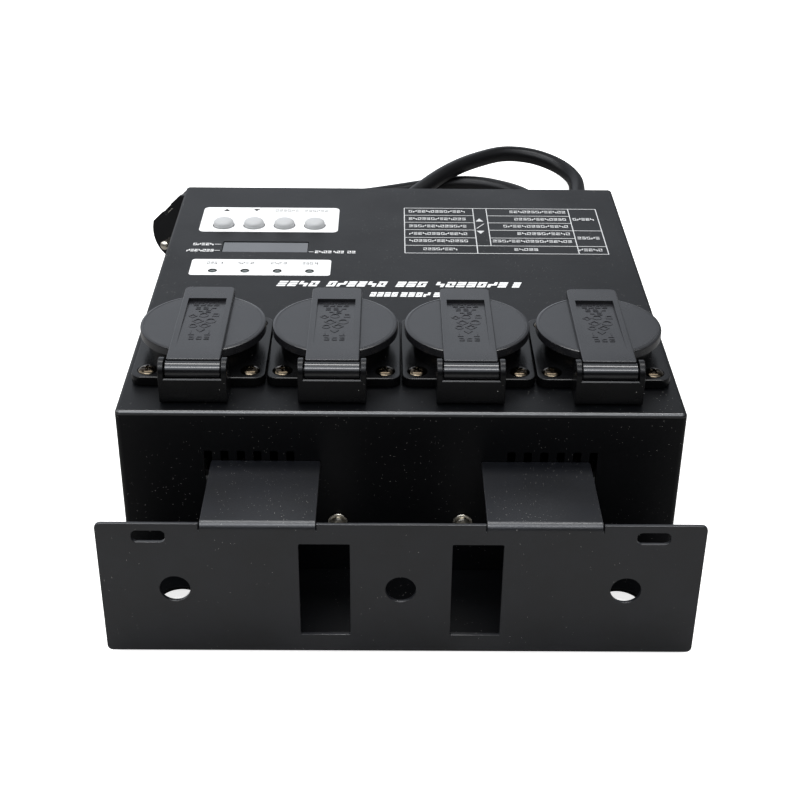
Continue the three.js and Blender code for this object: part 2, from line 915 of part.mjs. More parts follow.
// Push button: domed cap, stem and the skirt that keeps it under the cover
function button(x) {
  const under = coverTop - coverSheet - seatGap;
  const top = coverTop + buttonRise;
  const [shoulderOut, shoulderUp] = buttonShoulderShares;
  return turned([
    [0, under - buttonSkirtHeight],
    [buttonSkirt, under - buttonSkirtHeight],
    [buttonSkirt, under],
    [buttonRadius, under],
    [buttonRadius, top - buttonCrown],
    [buttonRadius * shoulderOut, top - buttonCrown * (1 - shoulderUp)],
    [buttonRadius * buttonCrownShare, top],
    [0, top],
  ], x, buttonY);
}

// Display filter, glued under the cover
function displayWindow() {
  const top = coverTop - coverSheet - seatGap;
  return block(
    [
      controlCentre - displayWidth / 2 - displayLip, displayY - displayLength / 2 - displayLip,
      top - displayThickness,
    ],
    [
      controlCentre + displayWidth / 2 + displayLip, displayY + displayLength / 2 + displayLip,
      top,
    ],
  );
}

function controlBoardTop() {
  return coverTop - coverSheet - controlBoardDrop;
}

// Digit module between the board and the filter
function displayModule() {
  const halfWidth = displayModuleWidth / 2;
  const halfLength = displayModuleLength / 2;
  const footWidth = halfWidth * displayModuleFootShare;
  const footLength = halfLength * displayModuleFootShare;
  const low = controlBoardTop() + seatGap;
  const high = coverTop - coverSheet - 2 * seatGap - displayThickness;
  const step = low + displayModuleHeight;
  return joined(
    block(
      [controlCentre - halfWidth, displayY - halfLength, step - seatGap],
      [controlCentre + halfWidth, displayY + halfLength, high],
    ),
    block(
      [controlCentre - footWidth, displayY - footLength, low],
      [controlCentre + footWidth, displayY + footLength, step],
    ),
  );
}

// Light guide: four pips through the cover, on one bar that stands on the board
function lightGuide() {
  const barTop = coverTop - coverSheet - seatGap;
  const barLow = barTop - indicatorBarHeight;
  const reach = controlPitch * (controlCount - 1) / 2 + indicatorOverhang;
  let shape = block(
    [controlCentre - reach, indicatorY - indicatorBarWidth / 2, barLow],
    [controlCentre + reach, indicatorY + indicatorBarWidth / 2, barTop],
  );
  for (let control = 0; control < controlCount; control += 1) {
    const centre = [controlX(control), indicatorY];
    shape = joined(
      shape,
      bar('z', indicatorRadius, barTop - seatGap, coverTop, centre, roundCoarse),
      bar('z', indicatorRadius, controlBoardTop() + seatGap, barLow + seatGap, centre, roundCoarse),
    );
  }
  return shape;
}

// Control board on four spacers, with a tact switch under each button
function controlBoard() {
  const top = controlBoardTop();
  const front = indicatorY - controlBoardFrontMargin;
  const rear = buttonY + controlBoardRearMargin;
  const left = controlCentre - controlBoardWidth / 2;
  const right = controlCentre + controlBoardWidth / 2;
  let shape = block([left, front, top - boardThickness], [right, rear, top]);
  for (const x of [left + spacerInset, right - spacerInset]) {
    for (const y of [front + spacerInset, rear - spacerInset]) {
      shape = shape.add(bar(
        'z', spacerRadius, top - boardThickness / 2, coverTop - coverSheet - seatGap, [x, y],
        roundCoarse,
      ));
    }
  }
  const buttonFoot = coverTop - coverSheet - seatGap - buttonSkirtHeight;
  const switchTop = buttonFoot - buttonTravel - seatGap;
  for (let control = 0; control < controlCount; control += 1) {
    const x = controlX(control);
    shape = joined(
      shape,
      block(
        [x - switchSize / 2, buttonY - switchSize / 2, top - boardThickness / 2],
        [x + switchSize / 2, buttonY + switchSize / 2, top + switchSize / 2],
      ),
      bar('z', switchStemRadius, top, switchTop, [x, buttonY], roundCoarse),
    );
  }
  return shape;
}

// Power board: transformer, four ring chokes and four relays on one board with legs
function powerBoard() {
  const low = baseTop + powerBoardHeight;
  const top = low + boardThickness;
  const front = outletY + collarRadius + powerBoardFrontGap;
  const transformerRear = rearY + seatGap - signalDepth - transformerGap;
  const rear = transformerRear + spacerInset;
  const half = powerBoardWidth / 2;
  let shape = block([-half, front, low], [half, rear, top]);
  for (const x of [-half + spacerInset, half - spacerInset]) {
    for (const y of [front + spacerInset, rear - spacerInset]) {
      shape = shape.add(
        bar('z', spacerRadius, baseTop + seatGap, low + boardThickness / 2, [x, y], roundCoarse),
      );
    }
  }
  shape = shape.add(block(
    [-half + 2 * spacerInset, transformerRear - transformerLength, low + boardThickness / 2],
    [-half + 2 * spacerInset + transformerWidth, transformerRear, low + transformerHeight],
  ));
  const spacing = powerBoardWidth / outletCount;
  for (let channel = 0; channel < outletCount; channel += 1) {
    const x = (channel - (outletCount - 1) / 2) * spacing;
    const chokeY = front + spacerInset + chokeRadius;
    const relayFront = chokeY + chokeRadius + spacerInset;
    const ring = cutBy(
      bar('z', chokeRadius, low + boardThickness / 2, top + chokeHeight, [x, chokeY]),
      bar('z', chokeHole, top, top + chokeHeight + overrun, [x, chokeY], roundCoarse),
    );
    shape = joined(shape, ring, block(
      [x - relayWidth / 2, relayFront, low + boardThickness / 2],
      [x + relayWidth / 2, relayFront + relayLength, top + relayHeight],
    ));
  }
  return shape;
}

// Heat sink: a plate against the front wall with upright fins behind it
function heatSink() {
  const front = faceY + coverSheet + seatGap;
  const top = coverTop - sinkDrop;
  const low = baseTop + sinkFoot;
  const half = sinkWidth / 2;
  let shape = block([-half, front, low], [half, front + sinkPlate, top]);
  const fins = Math.floor((sinkWidth - sinkFinSheet) / sinkFinPitch);
  for (let fin = 0; fin <= fins; fin += 1) {
    const x = (fin - fins / 2) * sinkFinPitch;
    shape = shape.add(block(
      [x - sinkFinSheet / 2, front + sinkPlate / 2, low],
      [x + sinkFinSheet / 2, front + sinkPlate + sinkFinLength, top],
    ));
  }
  for (const side of [-1, 1]) {
    shape = shape.subtract(bar(
      'y', frontScrewRadius + seatGap, front - overrun, front + frontScrewLength + seatGap,
      [side * frontScrewAcross, coverTop - frontScrewDrop], roundCoarse,
    ));
  }
  return shape;
}

// Signal socket shell: flange outside, round body through the rear wall
function signalShellSolid(x) {
  const z = coverTop - signalDrop;
  const inside = rearY + seatGap;
  const outside = inside + signalFlange;
  const flange = roundedRectangle(signalFlangeWidth, signalFlangeHeight, signalCorner, x, z);
  let shape = joined(
    pushedBack(flange, inside, outside),
    bar('y', signalShell, inside - signalDepth, outside, [x, z]),
  );
  for (const side of [-1, 1]) {
    shape = shape.add(bar(
      'y', signalRivetRadius, inside + signalFlange / 2, outside + signalRivetRise,
      [x + side * signalRivetAcross, z + side * signalRivetUp], roundCoarse,
    ));
  }
  return shape;
}

function signalPinPlaces(x) {
  const z = coverTop - signalDrop;
  const places = [];
  for (let pin = 0; pin < signalPinCount; pin += 1) {
    const angle = Math.PI * (0.5 + pin / 2);
    places.push([x + signalPinCircle * Math.cos(angle), z - signalPinCircle * Math.sin(angle)]);
  }
  return places;
}

// Signal input: a round well with three pins standing in it
function signalInputSocket() {
  const outside = rearY + seatGap + signalFlange;
  const wellFloorY = outside - signalWellDepth;
  const well = bar(
    'y', signalWell, wellFloorY, outside + overrun, [signalInput, coverTop - signalDrop],
  );
  let shape = signalShellSolid(signalInput).subtract(well);
  for (const place of signalPinPlaces(signalInput)) {
    shape = shape.add(bar(
      'y', signalPinRadius, wellFloorY - overrun, wellFloorY + signalPinLength, place, roundCoarse,
    ));
  }
  return shape;
}

// Signal output: a ring groove round an insert with three holes
function signalOutputSocket() {
  const z = coverTop - signalDrop;
  const outside = rearY + seatGap + signalFlange;
  const wellFloorY = outside - signalWellDepth;
  const ring = bar('y', signalShell - bodyWall / 2, wellFloorY, outside + overrun, [signalOutput, z])
    .subtract(bar(
      'y', signalInsert, wellFloorY - overrun, outside + 2 * overrun, [signalOutput, z],
    ));
  let shape = signalShellSolid(signalOutput).subtract(ring);
  for (const place of signalPinPlaces(signalOutput)) {
    shape = shape.subtract(bar(
      'y', signalPinRadius + seatGap, outside - signalPinLength, outside + overrun, place,
      roundCoarse,
    ));
  }
  return shape;
}

// A profile of [radius, distance] points turned about a line that starts at a point and runs along
// a direction
function turnedAlong(profile, start, heading, segments = round) {
  const points = profile.map(([radius, distance]) => new THREE.Vector2(radius, distance));
  const geometry = new THREE.LatheGeometry(points, segments);
  const turn = new THREE.Quaternion().setFromUnitVectors(
    new THREE.Vector3(0, 1, 0), heading,
  );
  geometry.applyQuaternion(turn);
  geometry.translate(start.x, start.y, start.z);
  return solid(geometry);
}

// Strain relief: nut inside, collar outside, then a taper over the cord
function strainRelief() {
  const start = new THREE.Vector3(reliefAcross, rearY, coverTop - reliefDrop);
  const inside = -coverSheet - seatGap;
  return turnedAlong([
    [0, inside - reliefNutLength],
    [reliefNut, inside - reliefNutLength],
    [reliefNut, inside],
    [reliefNeck, inside],
    [reliefNeck, seatGap],
    [reliefCollar, seatGap],
    [reliefCollar, seatGap + reliefCollarLength],
    [reliefNeck + overrun, seatGap + reliefCollarLength + overrun],
    [reliefTip, reliefLength],
    [0, reliefLength],
  ], start, new THREE.Vector3(0, 1, 0));
}

// Route of the cord's centre: across, behind the box's rear wall, and above the floor
// It leaves the strain relief, drops to the floor, crosses itself, lies in two flat turns
// behind the box, leaves over the outer turn and ends at the plug
const cordRoute = [
  [84, 27.3, 36.4],
  [84, 42, 35.9],
  [86.5, 67, 28],
  [92, 98, 10],
  [100.4, 135.1, 5.3],
  [109.3, 165.7, 5.1],
  [110, 188.6, 7],
  [101.4, 203.9, 9.7],
  [86.5, 212.1, 12.6],
  [68.8, 211.4, 14.6],
  [50.7, 199.7, 15.1],
  [29.3, 175.7, 15.1],
  [-6.3, 132.2, 6.5],
  [-44.6, 83.2, 5.1],
  [-43.8, 47.2, 4.9],
  [-24.2, 21.3, 4.9],
  [6.2, 11, 4.9],
  [36.6, 20, 4.9],
  [56.2, 44.5, 4.9],
  [57.7, 75.5, 4.9],
  [39.8, 101.9, 4.9],
  [8, 111, 4.9],
  [-20.9, 98.5, 4.9],
  [-34.5, 73, 4.9],
  [-31, 46.4, 4.9],
  [-11.4, 26.3, 4.9],
  [12.5, 22, 5.4],
  [36, 32, 9],
  [58, 56, 15.4],
  [74.5, 88, 11],
  [83.8, 138, 5.6],
  [78.6, 163.1, 5],
  [63.7, 177.6, 4.9],
  [41.1, 184.9, 4.9],
  [-30.3, 160.5, 4.9],
  [-69.5, 162, 4.9],
  [-87, 157.7, 5],
  [-100.6, 145.8, 5.3],
  [-107.2, 129, 6.9],
  [-109.1, 114.4, 11],
];

const cordPoint = ([x, back, height]) => new THREE.Vector3(x, rearY + back, height);

function mainsCord() {
  const curve = new THREE.CatmullRomCurve3(cordRoute.map(cordPoint), false, 'centripetal');
  const section = new THREE.Shape();
  for (let side = 0; side < cordSides; side += 1) {
    const angle = (side + 0.5) * 2 * Math.PI / cordSides;
    const x = cordRadius * Math.cos(angle);
    const y = cordRadius * Math.sin(angle);
    if (side === 0) {
      section.moveTo(x, y);
    } else {
      section.lineTo(x, y);
    }
  }
  section.closePath();
  const geometry = new THREE.ExtrudeGeometry(section, {
    steps: Math.round(curve.getLength() / cordStep),
    extrudePath: curve,
    bevelEnabled: false,
  });
  return solid(geometry);
}

// Mains plug, lying on its flange and tail: tapered grip, flange, drawn-in neck and a round face
// with two pins, two flat sides square to the line of the pins, and an earth notch in each flat
function mainsPlug() {
  const end = cordPoint(cordRoute[cordRoute.length - 1]);
  const before = cordPoint(cordRoute[cordRoute.length - 2]);
  const heading = end.clone().sub(before).normalize();
  const start = end.clone().addScaledVector(heading, seatGap);
  const gripEnd = plugTailLength + plugGripLength;
  const neckStart = gripEnd + plugFlangeLength;
  const faceStart = neckStart + plugNeckLength;
  const faceEnd = faceStart + plugFaceLength;
  let shape = turnedAlong([
    [0, 0],
    [plugTailTip, 0],
    [plugTailRadius, plugTailLength],
    [plugGripTip, plugTailLength],
    [plugFlangeRadius, gripEnd],
    [plugFlangeRadius, neckStart],
    [plugNeckRadius, neckStart],
    [plugNeckRadius, faceStart],
    [plugFaceRadius, faceStart],
    [plugFaceRadius, faceEnd - plugFaceEdge],
    [plugFaceRadius - plugFaceEdge, faceEnd],
    [0, faceEnd],
  ], start, heading);
  const upright = new THREE.Vector3(0, 0, 1);
  const level = new THREE.Vector3().crossVectors(heading, upright).normalize();
  const across = level.applyAxisAngle(heading, plugTurn);
  const above = new THREE.Vector3().crossVectors(across, heading);
  const turn = new THREE.Matrix4().makeBasis(across, heading, above);
  const whole = faceEnd + overrun;
  const flatStart = faceStart - plugNeckLength / 2;
  for (const side of [-1, 1]) {
    for (const [flat, from] of [[plugFlat, -overrun], [plugFaceFlat, flatStart]]) {
      const slab = new THREE.BoxGeometry(2 * plugFlangeRadius, whole - from, plugFlangeRadius);
      slab.applyMatrix4(turn);
      const slabMiddle = start.clone()
        .addScaledVector(heading, (whole + from) / 2)
        .addScaledVector(above, side * (flat + plugFlangeRadius / 2));
      slab.translate(slabMiddle.x, slabMiddle.y, slabMiddle.z);
      shape = shape.subtract(solid(slab));
    }
    const pinStart = start.clone()
      .addScaledVector(heading, faceEnd - overrun)
      .addScaledVector(across, side * plugPinSpacing / 2);
    shape = shape.add(turnedAlong([
      [0, 0],
      [plugPinRadius, 0],
      [plugPinRadius, plugPinLength],
      [plugPinRadius * plugPinTipShare, plugPinLength + overrun],
      [0, plugPinLength + overrun],
    ], pinStart, heading, roundCoarse));
    const notch = new THREE.BoxGeometry(plugEarthWidth, plugFaceLength, 2 * plugEarthDepth);
    notch.applyMatrix4(turn);
    const notchMiddle = start.clone()
      .addScaledVector(heading, faceEnd - plugFaceLength / 2 + overrun)
      .addScaledVector(above, side * plugFaceFlat);
    notch.translate(notchMiddle.x, notchMiddle.y, notchMiddle.z);
    shape = shape.subtract(solid(notch));
  }
  return shape;
}

place('cover', cover(), powderBlack());
place('base_plate', base(), powderBlack());
place('mounting_bracket', bracket(), powderBlack());
for (const [corner, [x, y]] of Object.entries(footPlaces())) {
  place(`foot_${corner}`, foot(x, y), rubberBlack());
  place(`foot_screw_${corner}`, footScrew(x, y), nickel());
}
place('front_screw_left', frontScrew(-1), nickel());
place('front_screw_right', frontScrew(1), nickel());
addOutlets();
for (let control = 0; control < controlCount; control += 1) {
  place(`button_${control + 1}`, button(controlX(control)), buttonGrey());
}
place('display_window', displayWindow(), filterGrey());
place('display_module', displayModule(), moduleBlack());
place('light_guide', lightGuide(), clearWhite());
place('control_board', controlBoard(), boardGreen());
place('power_board', powerBoard(), boardGreen());
place('heat_sink', heatSink(), aluminium());
place('signal_input', signalInputSocket(), nickel());
place('signal_output', signalOutputSocket(), nickel());
place('strain_relief', strainRelief(), rubberBlack());
place('mains_cord', mainsCord(), rubberBlack());
place('mains_plug', mainsPlug(), rubberBlack());

export default model;
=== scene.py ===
# %% [markdown]
# # A four-way dimmer pack
# The object is a folded steel box with four flanged outlets on top, a bent mounting bracket in
# front and a rubber mains lead behind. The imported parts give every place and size. This lesson
# dresses them: each cell says what the real piece is, how it could be modelled, and why it is
# modelled as it is.

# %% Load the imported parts
import json
import math
from contextlib import contextmanager

import bmesh
import bpy
from mathutils import Matrix, Vector

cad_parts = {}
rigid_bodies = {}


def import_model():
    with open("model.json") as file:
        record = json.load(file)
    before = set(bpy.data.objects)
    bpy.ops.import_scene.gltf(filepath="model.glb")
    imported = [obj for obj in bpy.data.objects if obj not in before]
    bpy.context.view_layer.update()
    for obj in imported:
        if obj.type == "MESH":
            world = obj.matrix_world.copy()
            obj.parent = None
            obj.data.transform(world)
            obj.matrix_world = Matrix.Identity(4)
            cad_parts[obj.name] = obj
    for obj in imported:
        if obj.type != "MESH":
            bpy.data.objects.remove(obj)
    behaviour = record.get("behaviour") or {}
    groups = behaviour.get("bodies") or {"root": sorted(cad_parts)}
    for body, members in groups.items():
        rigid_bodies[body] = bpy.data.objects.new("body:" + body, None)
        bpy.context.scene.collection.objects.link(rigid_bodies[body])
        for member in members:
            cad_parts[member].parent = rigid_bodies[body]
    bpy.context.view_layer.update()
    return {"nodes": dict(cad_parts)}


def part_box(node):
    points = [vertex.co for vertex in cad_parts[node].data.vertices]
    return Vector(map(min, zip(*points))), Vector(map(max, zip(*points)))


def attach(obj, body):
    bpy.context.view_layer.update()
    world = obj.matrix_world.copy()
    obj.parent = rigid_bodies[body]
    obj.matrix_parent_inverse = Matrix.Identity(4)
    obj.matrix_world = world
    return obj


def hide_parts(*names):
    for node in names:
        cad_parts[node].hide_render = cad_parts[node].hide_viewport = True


MM = 0.001
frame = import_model()

# %% [markdown]
# ## Camera
# The photograph was taken from in front and above with a short telephoto lens. The corners of
# the box and the bracket fix where the camera stood, so its place is written as numbers rather
# than found by eye. A longer lens further away would flatten the box, a shorter one splay it.

# %% The camera
CAMERA_PLACE = (-5.09, -536.3, 343.0)
CAMERA_TURN = (59.766, -0.546, -0.259)
CAMERA_LENS = 65.51

camera = bpy.data.objects.new("camera", bpy.data.cameras.new("camera"))
camera.location = Vector(CAMERA_PLACE) * MM
camera.rotation_euler = [math.radians(angle) for angle in CAMERA_TURN]
camera.data.lens = CAMERA_LENS
camera.data.sensor_width = 36
camera.data.clip_start = 0.01
bpy.context.scene.collection.objects.link(camera)
bpy.context.scene.camera = camera
print("camera stands", round(camera.location.length, 3), "m from the part's origin")

# %% [markdown]
# ## Mains lead
# The lead is round rubber flex. It leaves a strain relief on the rear wall, drops to the
# floor, crosses itself in loose loops and ends in the plug. A curve with a bevel is the right
# tool: it keeps one diameter along its whole length. The route is a short list of given points,
# in millimetres: across, behind the rear wall, and above the floor. The
# thickness is each point's radius, because the box that a curve reports is grown by it.

# %% The lead's route
LEAD_RADIUS = 4.8
LEAD_ROUTE = [
    (84, 27.3, 36.4), (84, 42, 35.9), (86.5, 67, 28), (92, 98, 10), (100.4, 135.1, 5.3),
    (109.3, 165.7, 5.1), (110, 188.6, 7), (101.4, 203.9, 9.7), (86.5, 212.1, 12.6),
    (68.8, 211.4, 14.6), (50.7, 199.7, 15.1), (29.3, 175.7, 15.1), (-6.3, 132.2, 6.5),
    (-44.6, 83.2, 5.1), (-43.8, 47.2, 4.9), (-24.2, 21.3, 4.9), (6.2, 11, 4.9),
    (36.6, 20, 4.9), (56.2, 44.5, 4.9), (57.7, 75.5, 4.9), (39.8, 101.9, 4.9),
    (8, 111, 4.9), (-20.9, 98.5, 4.9), (-34.5, 73, 4.9), (-31, 46.4, 4.9),
    (-11.4, 26.3, 4.9), (12.5, 22, 5.4), (36, 32, 9), (58, 56, 15.4), (74.5, 88, 11),
    (83.8, 138, 5.6), (78.6, 163.1, 5), (63.7, 177.6, 4.9), (41.1, 184.9, 4.9),
    (-30.3, 160.5, 4.9), (-69.5, 162, 4.9), (-87, 157.7, 5), (-100.6, 145.8, 5.3),
    (-107.2, 129, 6.9), (-109.1, 114.4, 11),
]
REAR_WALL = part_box("cover")[1].y / MM


def between(first, second, start, end, time):
    """The place at a time, on the way from the first point to the second."""
    return first * ((end - time) / (end - start)) + second * ((time - start) / (end - start))


def rounded_route(points, steps=12):
    """A centripetal Catmull-Rom curve through the points, as many short straight steps."""
    run = [points[0] * 2 - points[1], *points, points[-1] * 2 - points[-2]]
    line = []
    for first, second, third, fourth in zip(run, run[1:], run[2:], run[3:]):
        times = [0.0]
        for start, end in ((first, second), (second, third), (third, fourth)):
            times.append(times[-1] + math.sqrt((end - start).length))
        t0, t1, t2, t3 = times
        for step in range(steps):
            t = t1 + (t2 - t1) * step / steps
            leg = between(second, third, t1, t2, t)
            early = between(between(first, second, t0, t1, t), leg, t0, t2, t)
            late = between(leg, between(third, fourth, t2, t3, t), t1, t3, t)
            line.append(between(early, late, t1, t2, t))
    return [*line, points[-1]]


lead_points = rounded_route(
    [Vector((x, REAR_WALL + back, height)) * MM for x, back, height in LEAD_ROUTE]
)

# %% The lead itself
lead_curve = bpy.data.curves.new("mains_lead", "CURVE")
lead_curve.dimensions = "3D"
lead_curve.bevel_depth = 1
lead_curve.bevel_resolution = 6
lead_curve.use_fill_caps = True
lead_line = lead_curve.splines.new("POLY")
lead_line.points.add(len(lead_points) - 1)
for point, place in zip(lead_line.points, lead_points):
    point.co = (*place, 1)
    point.radius = LEAD_RADIUS * MM
lead_line.use_smooth = True
mains_lead = bpy.data.objects.new("mains_lead", lead_curve)
bpy.context.scene.collection.objects.link(mains_lead)
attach(mains_lead, "root")
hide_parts("mains_cord")
print("lead curve:", len(lead_line.points), "short straight steps")

# %% [markdown]
# ## Short ways to make solid pieces
# Most of the object is folded sheet, turned metal and moulded plastic. Four makers cover them:
# a solid turned about an axis, an outline pushed along an axis, a flat plate with holes and
# softened edges, and boolean cuts and joins. Everything is drawn in millimetres, because the
# sizes are then the real ones, and is scaled to metres once, when a piece is put in place.

# %% Outlines
AXIS_ORDER = {"X": (2, 0, 1), "Y": (0, 2, 1), "Z": (0, 1, 2)}
SIDES = (-1, 1)


def oriented(axis, u, v, w):
    """Turns a flat point and a distance along the named axis into X, Y and Z."""
    flat = (u, v, w)
    return Vector([flat[index] for index in AXIS_ORDER[axis]])


def arc(x, y, radius, start, end, steps=8):
    """Points along a round stretch, between two angles in degrees."""
    angles = [math.radians(start + (end - start) * step / steps) for step in range(steps + 1)]
    return [(x + radius * math.cos(angle), y + radius * math.sin(angle)) for angle in angles]


def circle(radius, x=0.0, y=0.0, steps=48):
    return arc(x, y, radius, 0, 360, steps)[:-1]


def rounded_box(width, height, radius, x=0.0, y=0.0, steps=5):
    """A rectangle with round corners."""
    across, up = width / 2 - radius, height / 2 - radius
    corners = ((1, -1, -90), (1, 1, 0), (-1, 1, 90), (-1, -1, 180))
    points = []
    for side, level, start in corners:
        points += arc(x + side * across, y + level * up, radius, start, start + 90, steps)
    return points


# %% Objects of a mesh


def linked(name, mesh):
    piece = bpy.data.objects.new(name, mesh)
    bpy.context.scene.collection.objects.link(piece)
    return piece


def from_form(name, form):
    """Makes an object of a bmesh, with its faces pointing out."""
    bmesh.ops.recalc_face_normals(form, faces=form.faces)
    mesh = bpy.data.meshes.new(name)
    form.to_mesh(mesh)
    form.free()
    return linked(name, mesh)


# %% Solids turned about an axis or pushed along it


def turned(name, profile, axis="Z", place=(0, 0, 0), segments=48):
    """A solid of revolution: its [radius, distance] points start and end on the axis."""
    form = bmesh.new()
    rings = []
    for radius, distance in profile:
        round_points = circle(radius, steps=segments) if radius > 0 else [(0, 0)]
        rings.append([
            form.verts.new(oriented(axis, u, v, distance) + Vector(place)) for u, v in round_points
        ])
    for lower, upper in zip(rings, rings[1:]):
        for k in range(segments):
            pair = (k, k + 1)
            corners = [lower[index % len(lower)] for index in pair]
            corners += [upper[index % len(upper)] for index in reversed(pair)]
            corners = list(dict.fromkeys(corners))
            if len(corners) > 2:
                form.faces.new(corners)
    return from_form(name, form)


def rod(name, radius, low, high, axis="Z", place=(0, 0, 0), segments=48, edge=0.0):
    """A round bar, plain or with broken edges. It also serves as a drill."""
    profile = [
        (0, low), (radius - edge, low), (radius, low + edge), (radius, high - edge),
        (radius - edge, high), (0, high),
    ]
    return turned(name, list(dict.fromkeys(profile)), axis, place, segments)


def prism(form, *rings):
    """Closes the space between two rings of places, with a face at each end."""
    low, high = ([form.verts.new(place) for place in ring] for ring in rings)
    form.faces.new(low)
    form.faces.new(high)
    for k in range(len(low)):
        form.faces.new((low[k - 1], low[k], high[k], high[k - 1]))


def pushed(name, outline, low, high, axis="Z", place=(0, 0, 0)):
    """An outline pushed along an axis."""
    form = bmesh.new()
    prism(form, *(
        [oriented(axis, u, v, w) + Vector(place) for u, v in outline] for w in (low, high)
    ))
    return from_form(name, form)


# %% Plates


def plate(name, outline, holes, low, high, edge=0.2, axis="Z"):
    """A flat plate with holes. A filled curve softens all its edges and keeps its size."""
    curve = bpy.data.curves.new(name, "CURVE")
    curve.dimensions = "2D"
    curve.fill_mode = "BOTH"
    curve.extrude = (high - low) / 2 - edge
    curve.bevel_depth = edge
    curve.bevel_resolution = 1
    curve.offset = -edge
    for points in (outline, *holes):
        line = curve.splines.new("POLY")
        line.points.add(len(points) - 1)
        for point, (u, v) in zip(line.points, points):
            point.co = (u, v, 0, 1)
        line.use_cyclic_u = True
    draft = linked(name, curve)
    graph = bpy.context.evaluated_depsgraph_get()
    form = bmesh.new()
    form.from_mesh(bpy.data.meshes.new_from_object(draft.evaluated_get(graph)))
    bpy.data.objects.remove(draft)
    for vertex in form.verts:
        u, v, w = vertex.co
        vertex.co = oriented(axis, u, v, w + (low + high) / 2)
    bmesh.ops.remove_doubles(form, verts=form.verts, dist=0.001)
    return from_form(name, form)


# %% Cuts, joins and soft edges


@contextmanager
def opened(piece):
    """Opens a piece's mesh for work on its corners and faces, and writes it back."""
    form = bmesh.new()
    form.from_mesh(piece.data)
    yield form
    form.to_mesh(piece.data)
    form.free()


def applied(piece):
    """Turns a piece's modifiers into its mesh."""
    graph = bpy.context.evaluated_depsgraph_get()
    mesh = bpy.data.meshes.new_from_object(piece.evaluated_get(graph))
    piece.modifiers.clear()
    piece.data = mesh
    return piece


def combined(piece, tool, operation):
    modifier = piece.modifiers.new("combine", "BOOLEAN")
    modifier.operation = operation
    modifier.solver = "EXACT"
    modifier.object = tool
    applied(piece)
    bpy.data.objects.remove(tool)
    return piece


def merged(name, pieces):
    """One object that holds several pieces as they are."""
    form = bmesh.new()
    for piece in pieces:
        form.from_mesh(piece.data)
        bpy.data.objects.remove(piece)
    return from_form(name, form)


def cut(piece, *tools):
    """Cuts tools that don't touch each other out of a piece."""
    return combined(piece, merged("tools", tools), "DIFFERENCE")


def joined(piece, *others):
    for other in others:
        combined(piece, other, "UNION")
    return piece


def softened(piece, width, segments=2, angle=30):
    """Rounds the edges that turn more than an angle."""
    modifier = piece.modifiers.new("soften", "BEVEL")
    modifier.width = width
    modifier.segments = segments
    modifier.limit_method = "ANGLE"
    modifier.angle_limit = math.radians(angle)
    return applied(piece)


# %% [markdown]
# ## Putting pieces in place
# Every piece ends in the same way: near-equal points are welded, it is scaled to metres, its flat
# and round faces are told apart by an angle, and it gets its finish, the body it rides on and the
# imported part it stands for. The four outlets are alike, and so are the buttons and the feet. Each
# set shares one mesh: a copy is an object of its own, but a change to the mesh shows in them all.

# %% Finishing a piece
SMOOTH_ANGLE = 32
WELD = 0.002


def ridden(piece, body, slot, *nodes):
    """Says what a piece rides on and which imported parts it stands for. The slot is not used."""
    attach(piece, body)
    if nodes:
        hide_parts(*nodes)
    return piece


def settled(piece, material, body, slot, *nodes, at=(0, 0, 0)):
    """Scales a finished shape to metres, smooths it, paints it and puts it in its place."""
    piece.location = Vector(at) * MM
    with opened(piece) as form:
        bmesh.ops.remove_doubles(form, verts=form.verts, dist=WELD)
        bmesh.ops.dissolve_degenerate(form, edges=form.edges, dist=WELD)
    piece.data.transform(Matrix.Scale(MM, 4))
    piece.data.shade_smooth()
    piece.data.set_sharp_from_angle(angle=math.radians(SMOOTH_ANGLE))
    weights = piece.modifiers.new("weights", "WEIGHTED_NORMAL")
    weights.keep_sharp = True
    applied(piece)
    piece.data.materials.clear()
    piece.data.materials.append(material)
    return ridden(piece, body, slot, *nodes)


def second_finish(piece, material, wanted):
    """Gives a second finish to the faces whose centre (in mm) and normal are wanted."""
    piece.data.materials.append(material)
    for face in piece.data.polygons:
        face.material_index = int(wanted(face.center / MM, face.normal))


# %% Copies


def copied(piece, name, place, body, slot, *nodes, turn=0):
    """Another copy of a piece that is drawn about its own centre."""
    twin = linked(name, piece.data)
    twin.location = Vector(place) * MM
    twin.rotation_euler.z = math.radians(turn)
    return ridden(twin, body, slot, *nodes)


def spread(piece, material, slot, places, body, twin, *nodes, labels="1234"):
    """Settles a piece at the first place and copies it to the others.

    A # in a name stands for the label of the place.
    """
    for label, place in zip(labels, places):
        body_name, twin_name, *node_names = [
            text.replace("#", label) for text in (body, twin, *nodes)
        ]
        if label == labels[0]:
            settled(piece, material, body_name, slot, *node_names, at=place)
        else:
            copied(piece, twin_name, place, body_name, slot, *node_names)


# %% The cover's own box


def box_mm(node):
    """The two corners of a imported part's box, in millimetres."""
    low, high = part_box(node)
    return low / MM, high / MM


cover_low, cover_high = box_mm("cover")
TOP = cover_high.z
FACE = cover_low.y
REAR = cover_high.y
print("cover: top", round(TOP, 1), "face", round(FACE, 1), "rear", round(REAR, 1))

# %% [markdown]
# ## Shared effects
# Powder coat, moulded plastic and rubber are all black here, so what tells them apart is
# their grain, their sheen and the dust on them. Each effect is a node group with named inputs,
# built once and placed in every finish with its own values. The groups only put out masks,
# heights and roughness: the shader itself stays in each material.

# %% A short way to fill a node tree


def new_nodes(tree):
    """Empties a node tree and returns a short way to add a node to it.

    An input is given as a number, as a colour or as another node's output.
    """
    tree.nodes.clear()

    def add(kind, inputs=None, **settings):
        node = tree.nodes.new(kind)
        for name, value in settings.items():
            setattr(node, name, value)
        for name, value in (inputs or {}).items():
            if isinstance(value, bpy.types.NodeSocket):
                tree.links.new(value, node.inputs[name])
            else:
                node.inputs[name].default_value = value
        return node

    return add


